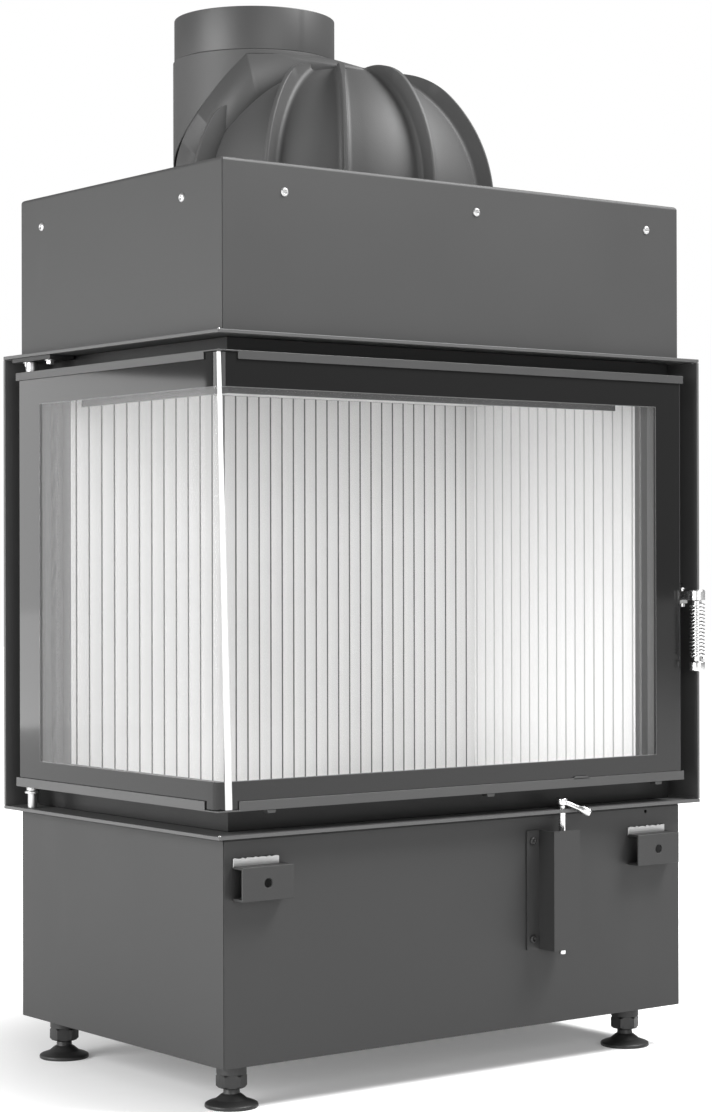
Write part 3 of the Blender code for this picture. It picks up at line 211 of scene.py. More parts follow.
# Painted casting: pits and grains of the sand mould under the paint.
def castIron(name, look):
    finish = Finish(name)
    clouds = finish.noise(look["cloudScale"], 4.0)
    sand = finish.noise(look["sandScale"], 5.0)
    pits = finish.node("ShaderNodeTexVoronoi", None, {"Vector": finish.place, "Scale": look["pitScale"]})
    hollow = finish.ramp(pits, ((0.0, 0.0), (look["pitWidth"], 1.0)))
    base = finish.shades(clouds, look, "cloudTones")
    colour = finish.mixed(sand * look["sandShare"], base, grey(look["tone"] * look["sandTone"]))
    height = sand * look["sandHeight"] + hollow * look["pitHeight"]
    fine = finish.bump(height, look["sandBump"], look["sandDepth"])
    normal = finish.bump(clouds, look["cloudBump"], look["cloudDepth"], fine)
    rough = look["roughness"] + (sand - 0.5) * look["sandRough"]
    constants = {"Metallic": look["metallic"], "Specular IOR Level": look["specular"]}
    return finish.surface(constants, {"Base Color": colour, "Roughness": rough, "Normal": normal})


# Bright metal: fine turning lines, a few dull patches.
def brightMetal(name, look):
    finish = Finish(name)
    lines = finish.noise(look["lineScale"], 3.0, look["lineStretch"])
    dull = finish.noise(look["dullScale"], 4.0)
    colour = finish.shades(dull, look, "dullTones")
    rough = look["roughness"] + lines * look["lineRough"] + dull * look["dullRough"]
    normal = finish.bump(lines, look["lineBump"], look["lineDepth"])
    return finish.surface({"Metallic": 1.0}, {"Base Color": colour, "Roughness": rough, "Normal": normal})


# White vermiculite board: pale flakes, fine pores, and painted shade in its grooves.
def liningBoard(name, look):
    finish = Finish(name)
    flakes = finish.node("ShaderNodeTexVoronoi", None, {"Vector": finish.place, "Scale": look["flakeScale"]})
    pores = finish.noise(look["poreScale"], 5.0)
    broad = finish.noise(look["broadScale"], 3.0)
    x, y, _ = finish.axes()
    # painted shade: every surface set back behind the board's front face, such as the groove floors, is
    # painted dark
    sunk, sideShadeMask = y - look["faceY"] > look["grooveFrom"], x - look["faceX"] > look["grooveFrom"]
    plain = finish.mixed(broad, grey(look["tone"] * look["broadTone"], 0.004), grey(look["tone"], 0.002))
    grooveShaded = finish.mixed(sunk, plain, grey(look["grooveShadeTone"]))
    base = finish.mixed(sideShadeMask, grooveShaded, grey(look["sideGrooveShadeTone"]))
    flake = finish.ramp(flakes, ((0.0, 1.0), (look["flakeWidth"], 0.0))) * look["flakeShare"]
    colour = finish.mixed(flake, base, grey(look["tone"] * look["flakeTone"]))
    fine = finish.bump(pores, look["poreBump"], look["poreDepth"])
    normal = finish.bump(flakes, look["flakeBump"], look["flakeDepth"], fine)
    rough = look["roughness"] + (pores - 0.5) * look["poreRough"]
    constants = {"Specular IOR Level": look["specular"]}
    return finish.surface(constants, {"Base Color": colour, "Roughness": rough, "Normal": normal})


# Glass with a black border printed round the clear window of each pane, and a painted highlight: a pale line
# down the bend that stands in for its reflection.
def printedGlass(name, look):
    finish = Finish(name)
    x, y, z = finish.axes()
    soft = look["softness"]

    def above(wire, limit):
        return finish.node("ShaderNodeMapRange", {"interpolation_type": "SMOOTHSTEP"},
                           {"Value": wire, "From Min": limit - soft, "From Max": limit + soft})

    front = above(look["cornerY"] - y, 0.0)      # 1 on the front pane, 0 on the side pane
    right = above(x, look["printRight"])
    rear = above(y, look["printRear"])
    top = above(z, look["printTop"])
    bottom = above(look["printBottom"] - z, 0.0)
    ends = right.largest(rear)
    ink = ends.largest(top).largest(bottom)
    smear = finish.noise(look["smearScale"], 4.0, look["smearStretch"])
    dots = finish.noise(look["dotScale"], 2.0)
    # painted highlight: a pale, partly opaque band along the bend, leaning and widening towards the foot,
    # stands in for the light mirrored by the bent glass
    fallen = finish.node("ShaderNodeMapRange", None,
                         {0: z, 1: look["highlightTop"], 2: look["lineFoot"], 3: 0.0, 4: 1.0})
    alongX, alongY = look["highlightWay"]
    across = (x - look["bendX"]) * alongX - (y - look["bendY"]) * alongY
    off = (across - (look["highlightAt"] + fallen * look["highlightLean"])).size()
    half = look["highlightHalf"] + fallen * look["highlightGrowth"]
    bendHighlight = finish.node("ShaderNodeMapRange", {"interpolation_type": "SMOOTHSTEP"},
                       {"Value": off - half, "From Min": soft, "From Max": -soft})
    clear = look["clearAlpha"] + smear * look["smearAlpha"] + (1.0 - front) * look["sideAlpha"]
    alpha = (clear + ink * (1.0 - clear)).largest(bendHighlight * look["highlightAlpha"])
    dark, pale = look["dotTones"]
    inkTone = finish.mixed(dots, grey(look["inkTone"] * dark), grey(look["inkTone"] * pale))
    colour = finish.mixed(bendHighlight, finish.mixed(ink, grey(look["clearTone"]), inkTone), grey(look["highlightTone"]))
    rough = look["roughness"] + smear * look["smearRough"] + ink * look["inkRough"]
    normal = finish.bump(finish.noise(look["waveScale"], 1.0), look["waveBump"], look["waveDepth"])
    finish.material.surface_render_method = "DITHERED"
    constants = {"Specular IOR Level": look["specular"], "IOR": look["bending"]}
    wires = {"Base Color": colour, "Roughness": rough, "Alpha": alpha, "Normal": normal}
    return finish.surface(constants, wires)


# Braided glass fibre: two sets of slanted strands crossing.
def ropeSeal(name, look):
    finish = Finish(name)
    strands = []
    leanX, leanY = look["lean"]
    for slant in (1.0, -1.0):
        turned = finish.node("ShaderNodeMapping", None,
                             {"Vector": finish.place, "Rotation": (leanX * slant, leanY * slant, 0.5)})
        strands.append(finish.node("ShaderNodeTexWave", {"bands_direction": "DIAGONAL"},
                                   {"Vector": turned, "Scale": look["strandScale"],
                                    "Distortion": look["distortion"]}, 1))
    weave = strands[0] * strands[1]
    fuzz = finish.noise(look["fuzzScale"], 3.0)
    colour = finish.shades(weave, look, "weaveTones")
    fine = finish.bump(fuzz, look["fuzzBump"], look["fuzzDepth"])
    normal = finish.bump(weave, look["weaveBump"], look["weaveDepth"], fine)
    rough = look["roughness"] - weave * look["weaveRough"]
    constants = {"Specular IOR Level": look["specular"]}
    return finish.surface(constants, {"Base Color": colour, "Roughness": rough, "Normal": normal})


# the casing's floor shade shares paint its lower panels darker, as shade
sheetLook = {"tone": 0.055, "floorShadeShare": 0.72, "floorShadeFrom": 0.30, "floorShadeTo": 0.85, "roughness": 0.56,
             "metallic": 0.35, "specular": 0.45, "cloudScale": 7.0,
             "grainScale": 1400.0, "grainTone": 0.10, "grainBump": 0.12, "grainDepth": 0.0004,
             "rubScale": 5.0, "rubTone": 0.06, "rubStretch": (1.0, 1.0, 0.25),
             "rubRamp": ((0.62, 0.0), (0.80, 1.0)), "rubRough": 0.08, "cloudTones": (0.93, 1.07),
             "cloudRough": 0.12, "speckTone": 1.9, "wornTone": 1.6, "waveBump": 0.05, "waveDepth": 0.0020}
fluePaintLook = {**sheetLook, "tone": 0.056, "floorShadeShare": 1.0, "roughness": 0.50}
frameLook = {**sheetLook, "tone": 0.100, "floorShadeShare": 1.0, "roughness": 0.50, "cloudScale": 9.0}
doorLook = {**sheetLook, "tone": 0.072, "floorShadeShare": 1.0, "roughness": 0.42, "cloudScale": 11.0}
blackLook = {**sheetLook, "tone": 0.034, "floorShadeShare": 1.0, "roughness": 0.46, "cloudScale": 20.0,
             "grainBump": 0.2, "metallic": 0.5}
# near-black paint that stands for shade in deep gaps
paintedShadeLook = {**blackLook, "tone": 0.012}
castLook = {"tone": 0.066, "roughness": 0.60, "metallic": 0.30, "specular": 0.45, "cloudScale": 9.0,
            "sandScale": 700.0, "pitScale": 260.0, "sandBump": 0.22, "sandDepth": 0.0006, "sandShare": 0.30,
            "sandTone": 1.35, "sandRough": 0.15, "sandHeight": 0.7, "pitHeight": 0.3, "pitWidth": 0.30,
            "cloudTones": (0.88, 1.10), "cloudBump": 0.25, "cloudDepth": 0.0030}
chromeLook = {"tone": 0.62, "roughness": 0.20, "lineScale": 60.0, "lineStretch": (1.0, 1.0, 24.0),
              "lineRough": 0.08, "lineBump": 0.05, "lineDepth": 0.0002, "dullScale": 90.0,
              "dullTones": (0.90, 1.0), "dullRough": 0.05}
zincLook = {**chromeLook, "tone": 0.46, "roughness": 0.34, "lineScale": 80.0, "lineRough": 0.15,
            "lineStretch": (1.0, 1.0, 18.0), "lineBump": 0.10, "dullScale": 220.0}
boardLook = {"tone": 0.86, "roughness": 0.86, "specular": 0.25, "broadScale": 5.0, "broadTone": 0.97,
             "poreScale": 900.0, "poreBump": 0.15, "poreDepth": 0.0006, "poreRough": 0.1, "flakeScale": 420.0,
             "flakeBump": 0.10, "flakeDepth": 0.0004, "flakeWidth": 0.35, "flakeShare": 0.18,
             "flakeTone": 0.80, "grooveFrom": 0.0006, "grooveShadeTone": 0.11, "sideGrooveShadeTone": 0.55}
ropeLook = {"tone": 0.20, "roughness": 0.92, "specular": 0.2, "strandScale": 130.0, "distortion": 1.2,
            "lean": (0.6, 0.7), "weaveTones": (0.45, 1.25), "weaveBump": 0.8, "weaveDepth": 0.0010,
            "weaveRough": 0.08, "fuzzScale": 900.0, "fuzzBump": 0.3, "fuzzDepth": 0.0003}
backBoard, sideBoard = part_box("back_lining"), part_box("right_lining")
liningFaces = {"faceX": sideBoard[0].x, "faceY": backBoard[0].y}
finishes = {
    "casing_steel": stovePaint("casingPaint", sheetLook),
    "frame_steel": stovePaint("framePaint", frameLook),
    "door_steel": stovePaint("doorPaint", doorLook),
    "black_iron": stovePaint("blackPaint", blackLook),
    "cast_iron": castIron("domeCasting", castLook),
    "painted_shade_black": stovePaint("paintedShadeBlack", paintedShadeLook),
    "flue_paint": stovePaint("fluePaint", fluePaintLook),
    "bright_metal": brightMetal("chromePlate", chromeLook),
    "zinc": brightMetal("zincPlate", zincLook),
    "lining_board": liningBoard("fireBoard", {**boardLook, **liningFaces}),
    "rope_seal": ropeSeal("ropeSeal", ropeLook),
}
slotOf = {entry["node"]: entry["material_slot"] for entry in frame["record"]["subparts"]}
print("finishes made:", len(finishes))


# Faces of a grid of rows by columns: each joins a point to the next along both ways.
def gridFaces(rows, columns, wrapRows=False, wrapColumns=False):
    index = np.arange(rows * columns).reshape(rows, columns)
    if wrapRows:
        index = np.vstack([index, index[:1]])
    if wrapColumns:
        index = np.hstack([index, index[:, :1]])
    corners = (index[:-1, :-1], index[:-1, 1:], index[1:, 1:], index[1:, :-1])
    return np.stack([corner.ravel() for corner in corners], axis=1)


mergeReach = 2e-6
edgeSteps, edgeAngle = 3, 50


# A piece from points and faces: doubles merged, faces turned outwards, smooth below an angle.
def madePiece(name, points, faces, slot, body, replaced=(), smooth=35, bevel=0.0):
    mesh = bpy.data.meshes.new(name)
    corners = np.asarray(points, float).reshape(-1, 3).tolist()
    mesh.from_pydata(corners, [], [list(map(int, face)) for face in faces])
    work = bmesh.new()
    work.from_mesh(mesh)
    bmesh.ops.remove_doubles(work, verts=work.verts, dist=mergeReach)
    bmesh.ops.dissolve_degenerate(work, edges=work.edges, dist=mergeReach / 2)
    bmesh.ops.recalc_face_normals(work, faces=work.faces)
    work.to_mesh(mesh)
    work.free()
    return dressed(name, mesh, slot, body, replaced, smooth, bevel)


def dressed(name, mesh, slot, body, replaced=(), smooth=35, bevel=0.0):
    mesh.materials.clear()
    mesh.materials.append(finishes[slot])
    mesh.shade_smooth()
    mesh.set_sharp_from_angle(angle=math.radians(smooth))
    piece = bpy.data.objects.new(name, mesh)
    bpy.context.scene.collection.objects.link(piece)
    if bevel:
        edge = piece.modifiers.new("edge", "BEVEL")
        edge.width = bevel
        edge.segments = edgeSteps
        edge.limit_method = "ANGLE"
        edge.angle_limit = math.radians(edgeAngle)
        edge.harden_normals = True
    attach(piece, body)
    if replaced:
        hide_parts(*replaced)
    return piece


# A CAD node with its loose triangles merged, its flat faces whole and its edges eased.
def easedNode(node, bevel):
    mesh = cadNodes[node].data.copy()
    work = bmesh.new()
    work.from_mesh(mesh)
    bmesh.ops.remove_doubles(work, verts=work.verts, dist=mergeReach)
    bmesh.ops.dissolve_limit(work, angle_limit=math.radians(1), verts=work.verts, edges=work.edges)
    work.to_mesh(mesh)
    work.free()
    for layer in list(mesh.uv_layers):
        mesh.uv_layers.remove(layer)
    body = cadNodes[node]["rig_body"]
    return dressed(f"{node}_dressed", mesh, slotOf[node], body, (node,), 35, bevel)


# Corners of a profile rounded: each corner becomes an arc tangent to its two sides.
def rounded(profile, radius, steps=4, closed=True):
    points = np.asarray(profile, float)
    before = np.roll(points, 1, axis=0) - points
    after = np.roll(points, -1, axis=0) - points
    lengths = np.linalg.norm(before, axis=1), np.linalg.norm(after, axis=1)
    reach = np.minimum(radius, np.minimum(*lengths) * 0.45)
    if not closed:
        reach[0] = reach[-1] = 0.0
    start = points + before / lengths[0][:, None] * reach[:, None]
    end = points + after / lengths[1][:, None] * reach[:, None]
    share = np.linspace(0, 1, steps + 1)[None, :, None]
    arc = ((1 - share) ** 2 * start[:, None] + 2 * share * (1 - share) * points[:, None]
           + share ** 2 * end[:, None])
    return arc.reshape(-1, points.shape[1])


# A profile of radius and height turned about an axis: point = centre + radius (cos a, sin a), height.
def turned(profile, centre, axis="z", steps=64, ripple=None):
    profile = np.asarray(profile, float)
    angle = np.linspace(0, 2 * math.pi, steps, endpoint=False)[None, :]
    radius = np.repeat(np.maximum(profile[:, :1], 0), steps, axis=1)
    height = np.repeat(profile[:, 1:], steps, axis=1)
    if ripple is not None:
        radius, height = ripple(radius, height, angle)
    across = radius * np.cos(angle)
    along = radius * np.sin(angle)
    order = {"z": (across, along, height), "y": (across, height, -along), "x": (height, across, along)}[axis]
    points = np.stack(order, axis=2) + np.asarray(centre, float)
    return points.reshape(-1, 3), gridFaces(len(profile), steps, True, True)


# A closed section carried along a path: each ring stands square to the path at its point.
def swept(path, section, radii=None):
    path = np.asarray(path, float)
    tangent = np.gradient(path, axis=0)
    tangent /= np.linalg.norm(tangent, axis=1)[:, None]
    side = np.cross(tangent, (0.0, 0.0, 1.0))
    side /= np.linalg.norm(side, axis=1)[:, None]
    top = np.cross(side, tangent)
    section = np.asarray(section, float)
    scale = np.ones(len(path)) if radii is None else np.asarray(radii, float)
    offset = side[:, None] * section[None, :, :1] + top[:, None] * section[None, :, 1:]
    points = (path[:, None] + offset * scale[:, None, None]).reshape(-1, 3)
    count = len(section)
    faces = gridFaces(len(path), count, False, True).tolist()
    return points, [*faces, list(range(count)), list(range(len(points) - count, len(points)))]


def ring(radius, steps):
    angle = np.linspace(0, 2 * math.pi, steps, endpoint=False)
    return np.stack([radius * np.cos(angle), radius * np.sin(angle)], axis=1)


# An outline in one plane carried straight along an axis.
def extruded(outline, axis, low, high):
    outline = np.asarray(outline, float)
    rings = []
    for level in (low, high):
        parts = [outline[:, 0], outline[:, 1]]
        parts.insert("xyz".index(axis), np.full(len(outline), level))
        rings.append(np.stack(parts, axis=1))
    points = np.vstack(rings)
    count = len(outline)
    faces = gridFaces(2, count, False, True).tolist()
    return points, [*faces, list(range(count)), list(range(count, 2 * count))]


# Several shapes in one mesh.
def together(*shapes):
    points, faces, start = [], [], 0
    for shapePoints, shapeFaces in shapes:
        points.append(np.asarray(shapePoints).reshape(-1, 3))
        faces += [[int(corner) + start for corner in face] for face in shapeFaces]
        start += len(points[-1])
    return np.vstack(points), faces


# Where a node's upright axis meets the floor.
def footprint(node):
    low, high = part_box(node)
    return (low.x + high.x) / 2, (low.y + high.y) / 2, 0


def middle(node):
    low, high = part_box(node)
    return (low + high) / 2


view = {"place": (-1.92245, -2.5398, 0.6028), "yaw": 37.176, "pitch": 0.180, "roll": -0.128, "focal": 83.05,
        "film": 36.0}


def addCamera():
    yaw, pitch, roll = (math.radians(view[key]) for key in ("yaw", "pitch", "roll"))
    forward = Vector((math.sin(yaw) * math.cos(pitch), math.cos(yaw) * math.cos(pitch), math.sin(pitch)))
    level = Vector((math.cos(yaw), -math.sin(yaw), 0))
    lift = level.cross(forward)
    right = level * math.cos(roll) + lift * math.sin(roll)
    upward = right.cross(forward)
    turn = Matrix((right, upward, -forward)).transposed()
    lens = bpy.data.cameras.new("photoView")
    lens.lens = view["focal"]
    lens.sensor_width = view["film"]
    camera = bpy.data.objects.new("photoView", lens)
    camera.matrix_world = Matrix.Translation(view["place"]) @ turn.to_4x4()
    bpy.context.scene.collection.objects.link(camera)
    bpy.context.scene.camera = camera


# The floor is a pale sheet that keeps the object's shadow, has painted shade where its glow is dimmed round
# the unit, and otherwise meets the white background.
def addFloor():
    finish = Finish("studioFloor")
    grain = finish.noise(floorLook["grainScale"], 3.0)
    dark, pale = floorLook["tones"]
    colour = finish.mixed(grain, grey(dark), grey(pale))
    matt = finish.node("ShaderNodeBsdfDiffuse", None, {"Color": colour})
    dull = finish.node("ShaderNodeBsdfDiffuse", None, {"Color": grey(floorLook["bounce"])})
    x, y, _ = finish.axes()
    # painted shade: near the unit the floor's glow drops to a low lift, so the floor round it is greyer
    # besides its real shadow; further out it glows white
    away = finish.node("ShaderNodeMapRange", {"interpolation_type": "SMOOTHSTEP"},
                       {0: (x * x + y * y).power(0.5), 1: floorLook["shadeEnd"], 2: floorLook["whiteFrom"]})
    shadeGlow = finish.mixed(away, grey(floorLook["lift"]), grey(1.0))
    glow = finish.node("ShaderNodeEmission", None, {"Color": shadeGlow})
    both = finish.node("ShaderNodeAddShader", None, {0: matt, 1: glow})
    camera, glossy, through = finish.rays()
    seen = camera.largest(glossy).largest(through)
    shown = finish.node("ShaderNodeMixShader", None, {0: seen, 1: dull, 2: both})
    finish.shown(shown)
    reach = floorLook["reach"]
    mesh = bpy.data.meshes.new("floor")
    corners = [(-reach, -reach, 0), (reach, -reach, 0), (reach, reach, 0), (-reach, reach, 0)]
    mesh.from_pydata(corners, [], [(0, 1, 2, 3)])
    mesh.materials.append(finish.material)
    floor = bpy.data.objects.new("floor", mesh)
    bpy.context.scene.collection.objects.link(floor)


# Cameras and the glass see white behind the unit; mirrored and ambient light are given apart.
def addWorld():
    world = bpy.data.worlds.new("studio")
    finish = Finish("studio", world)
    camera, glossy, through = finish.rays()
    strengths = (lightLook["ambient"], lightLook["mirrored"], 1.0)
    ambient, mirrored, white = (
        finish.node("ShaderNodeBackground", None, {"Color": grey(1.0), "Strength": strength})
        for strength in strengths)
    plain = finish.node("ShaderNodeMixShader", None, {0: camera.largest(through), 1: ambient, 2: white})
    shown = finish.node("ShaderNodeMixShader", None, {0: glossy, 1: plain, 2: mirrored})
    finish.shown(shown, "ShaderNodeOutputWorld")
    bpy.context.scene.world = world


def addLamp(name, place, target, size, power):
    data = bpy.data.lights.new(name, "AREA")
    data.shape = "RECTANGLE"
    data.size, data.size_y = size
    data.energy = power
    lamp = bpy.data.objects.new(name, data)
    lamp.location = place
    lamp.rotation_euler = (Vector(target) - Vector(place)).to_track_quat("-Z", "Y").to_euler()
    bpy.context.scene.collection.objects.link(lamp)


floorLook = {"reach": 14.0, "grainScale": 30.0, "tones": (0.80, 0.84), "lift": 0.17, "bounce": 0.30,
             "shadeEnd": 0.36, "whiteFrom": 0.72}
lightLook = {"ambient": 0.26, "mirrored": 0.36}
lamps = {
    "leftSoftbox": {"place": (-3.3, 0.1, 1.25), "target": (-0.3, 0, 0.75), "size": (2.2, 2.3),
                    "power": 138.0},
    "frontSoftbox": {"place": (-1.0, -4.3, 1.4), "target": (0, 0, 0.62), "size": (2.6, 2.0), "power": 70.0},
    "topSoftbox": {"place": (1.7, -1.7, 3.5), "target": (0, 0, 1.0), "size": (1.5, 1.5), "power": 230.0},
    "rearStrip": {"place": (-1.9, 2.76, 0.67), "target": (-0.36, 0.03, 0.62), "size": (0.78, 1.4),
                  "power": 12.0},
}
addCamera()
addFloor()
addWorld()
for lampName, values in lamps.items():
    addLamp(lampName, **values)
bpy.context.scene.view_settings.view_transform = "Standard"
print("camera, floor and lamps placed")


edgeWidths = {
    "lower_front_panel": 0.0008, "lower_left_panel": 0.0008, "lower_right_panel": 0.0008,
    "lower_back_panel": 0.0008, "upper_front_panel": 0.0008, "upper_left_panel": 0.0008,
    "upper_right_panel": 0.0008, "upper_back_panel": 0.0008, "base_tray": 0.0005,
    "frame_bottom_plate": 0.0007, "frame_top_plate": 0.0007, "frame_right_plate": 0.0007,
    "frame_rear_plate": 0.0007,
    "firebox_header": 0.0006, "firebox_sill": 0.0006, "firebox_right_stile": 0.0006,
    "firebox_rear_stile": 0.0006, "firebox_back_wall": 0.0006, "firebox_right_wall": 0.0006,
    "air_box": 0.0004, "air_gate": 0.0004, "air_crank": 0.0004, "air_strip": 0.0005,
    "hinge_top_bracket": 0.0006, "latch_strike": 0.0005, "handle_lug": 0.0005, "door_top_rail": 0.0004,
    "door_bottom_rail": 0.0004, "door_right_stile": 0.0004, "door_rear_stile": 0.0004,
    "door_gasket": 0.0028, "baffle_plate": 0.0012, "hearth_slab": 0.0012, "air_guard": 0.0009,
}
for node, width in edgeWidths.items():
    sheet = easedNode(node, width)
    # painted shade: the firebox header and sill get near-black paint for the shade in the gap between the
    # door rails and the frame lips
    if node in ("firebox_header", "firebox_sill"):
        sheet.data.materials[0] = finishes["painted_shade_black"]
    if node == "handle_lug":
        sheet.data.materials[0] = finishes["zinc"]
print("sheet metal dressed:", len(edgeWidths))


# Outlines of the heads, as shares of their radius and height; the washer's sizes are lengths.
headLook = {"pan": ((0, 0), (1, 0), (1, 0.45), (0.72, 1), (0.42, 1), (0.34, 0.35), (0, 0.30)),
            "panRound": 0.3, "hex": ((0, 0), (1, 0), (1, 0.85), (0.86, 1), (0, 1)),
            "washerShare": 1.35, "washer": 0.0012, "washerRound": 0.0004}


# A pan head with a hollow drive, turned about the axis.
def screwHead(place, axis, radius, height, facing=1.0):
    outline = np.array(headLook["pan"]) * (radius, height)
    profile = rounded(outline, height * headLook["panRound"], 3)
    profile[:, 1] *= facing
    return turned(profile, place, axis, 20)


# A six-sided head with a chamfered top and a washer under it.
def hexHead(place, axis, radius, height, facing=1.0):
    wide, thick = radius * headLook["washerShare"], headLook["washer"]
    head = np.array(headLook["hex"]) * (radius, height)
    head[:, 1] = (head[:, 1] + thick) * facing
    disc = rounded([(0, 0), (wide, 0), (wide, thick), (0, thick)], headLook["washerRound"], 2)
    disc[:, 1] *= facing
    return together(turned(head, place, axis, 6), turned(disc, place, axis, 28))


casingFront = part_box("upper_front_panel")[0].y
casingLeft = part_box("upper_left_panel")[0].x
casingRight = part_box("upper_right_panel")[1].x
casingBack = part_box("upper_back_panel")[1].y
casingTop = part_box("upper_front_panel")[1].z
seatGap = 0.0003      # between parts that touch

casingScrews = {
    "radius": 0.0052, "height": 0.0026, "frontDrop": 0.033, "frontAcross": (0.084, 0.362, 0.6365),
    "leftDrop": 0.037, "leftAlong": (0.080, 0.389), "backAcross": (0.084, 0.345, 0.606),
    "backStep": 0.125, "sunk": 0.0006,
}


def addCasingScrews():
    sizes = casingScrews
    radius, height, sunk = sizes["radius"], sizes["height"], sizes["sunk"]
    front = casingTop - sizes["frontDrop"]
    left = casingTop - sizes["leftDrop"]
    heads = []
    for across in sizes["frontAcross"]:
        heads.append(screwHead((casingLeft + across, casingFront + sunk, front), "y", radius, height, -1))
    for along in sizes["leftAlong"]:
        heads.append(screwHead((casingLeft + sunk, casingFront + along, left), "x", radius, height, -1))
        heads.append(screwHead((casingRight - sunk, casingFront + along, left), "x", radius, height))
    for across in sizes["backAcross"]:
        for level in (front, front - sizes["backStep"]):
            heads.append(screwHead((casingLeft + across, casingBack - sunk, level), "y", radius, height))
    madePiece("casingScrews", *together(*heads), "zinc", "root")


addCasingScrews()
print("casing screws set")


footLook = {"padRadius": 0.030, "rim": 0.0040, "crown": 0.0140, "neck": 0.0095, "threadDepth": 0.0006,
            "threadPitch": 0.00175, "nutRadius": 0.0175, "bore": 0.0065, "steps": 96,
            "shoulder": (0.90, 0.0016), "slope": (0.62, 0.0085), "top": 0.40, "topRise": 0.0010,
            "waist": 0.95, "under": 0.0012,
            "round": 0.0013, "rod": 0.006, "rodEnd": 0.0048, "rodFoot": 0.004, "threadTop": 0.001,
            "threadFrom": 0.0055, "nutFace": 0.88, "nutChamfer": 0.0018}


def addFoot(name):
    sizes = footLook
    low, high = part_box(f"foot_{name}")
    centre = (low + high) / 2
    nutLow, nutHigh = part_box(f"foot_nut_{name}")
    pad = sizes["padRadius"]
    shoulder, slope, under = sizes["shoulder"], sizes["slope"], nutLow.z - sizes["under"]
    outline = [(0, low.z), (pad, low.z), (pad, low.z + sizes["rim"]),
               (pad * shoulder[0], low.z + sizes["rim"] + shoulder[1]), (pad * slope[0], low.z + slope[1]),
               (pad * sizes["top"], low.z + sizes["crown"]),
               (sizes["neck"], low.z + sizes["crown"] + sizes["topRise"]),
               (sizes["neck"] * sizes["waist"], under), (0, under)]
    profile = rounded(outline, sizes["round"], 4)
    base = turned(profile, (centre.x, centre.y, 0), "z", sizes["steps"])
    levels = np.arange(nutLow.z - sizes["rodFoot"], high.z - sizes["threadTop"], sizes["threadPitch"] / 6)
    rod = [(0, levels[0]), *((sizes["rod"], level) for level in levels),
           (sizes["rodEnd"], high.z), (0, high.z)]

    def thread(radius, height, angle):
        # the radius falls and rises once a pitch, and the wave turns with the angle
        wave = np.cos(2 * math.pi * height / sizes["threadPitch"] - angle)
        cut = sizes["threadDepth"] * (0.5 + 0.5 * wave) * (radius > sizes["threadFrom"])
        return radius - cut, height

    spindle = turned(rod, (centre.x, centre.y, 0), "z", 24, thread)
    foot = together(base, spindle)
    madePiece(f"foot_{name}_turned", *foot, "black_iron", f"foot_{name}_body", (f"foot_{name}",))
    radius, bore, chamfer = sizes["nutRadius"], sizes["bore"], sizes["nutChamfer"]
    face = radius * sizes["nutFace"]
    nut = [(bore, nutLow.z), (face, nutLow.z), (radius, nutLow.z + chamfer), (radius, nutHigh.z - chamfer),
           (face, nutHigh.z), (bore, nutHigh.z)]

    def sixSided(radii, height, angle):
        # distance to the side of a hexagon, cut by the turned chamfer
        flat = radius * math.cos(math.pi / 6) / np.cos((angle + math.pi / 6) % (math.pi / 3) - math.pi / 6)
        return np.where(radii > bore * 1.01, np.minimum(radii, flat), radii), height

    shape = turned(nut, footprint(f"foot_nut_{name}"), "z", 72, sixSided)
    madePiece(f"foot_nut_{name}_turned", *shape, "black_iron", "root", (f"foot_nut_{name}",), smooth=25)


for corner in ("front_left", "rear_left", "front_right", "rear_right"):
    addFoot(corner)
print("feet turned")


domeLook = {"radius": 0.172, "wall": 0.008, "skirt": 0.0525, "flange": 0.016, "flangeHeight": 0.008,
            "ribRise": 0.0235, "ribThickness": 0.0055, "ribFillet": 0.006, "ribRound": 0.0018,
            "fall": (42.0, 69.5), "shortFall": (30.0, 43.5),
            "bearings": (-62.0, -33.0, 0.5, 48.0, 84.0, 120.0), "blades": (-99.5, 156.0), "bladeEdge": 0.0012,
            "bearing": -145.2, "tilt": 45.0, "plane": 0.130, "flangeEdge": 0.0005,
            "columns": 72, "ribClear": 0.085, "poleRim": 0.045, "footRound": 0.004, "footDrop": 0.001}
hoodCentre = middle("smoke_hood")
domeCentre = np.array([hoodCentre.x, hoodCentre.y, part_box("smoke_hood")[1].z + seatGap + domeLook["skirt"]])


def outletAxis():
    bearing, tilt = math.radians(domeLook["bearing"]), math.radians(domeLook["tilt"])
    level = np.array([math.sin(bearing), -math.cos(bearing), 0.0])
    return level, level * math.cos(tilt) + np.array([0, 0, math.sin(tilt)])


# Profile of the dome's outside: radius and height above the dome's centre, from the flange to the pole.
def domeProfile(radius):
    sizes = domeLook
    base = -sizes["skirt"]
    foot = [(radius + sizes["flange"], base), (radius + sizes["flange"], base + sizes["flangeHeight"]),
            (radius, base + sizes["flangeHeight"]), (radius, -sizes["footDrop"])]
    foot = rounded(foot, sizes["footRound"], 4, closed=False)
    lift = np.radians(np.linspace(0, 90, 56))
    ball = np.stack([radius * np.cos(lift), radius * np.sin(lift)], axis=1)
    return np.vstack([foot, ball[1:]])


# Crossways section of a rib: offset along the dome and height over it, up one side and down the other.
def ribSection():
    half, fillet, edge = domeLook["ribThickness"] / 2, domeLook["ribFillet"], domeLook["ribRound"]
    rise = domeLook["ribRise"]
    turn = np.linspace(0, math.pi / 2, 6)
    root = np.stack([-half - fillet + fillet * np.sin(turn), fillet - fillet * np.cos(turn)], axis=1)
    crest = np.stack([-half + edge - edge * np.cos(turn), rise - edge + edge * np.sin(turn)], axis=1)
    side = np.vstack([root, crest])
    return np.vstack([side, side[::-1] * (-1, 1)])


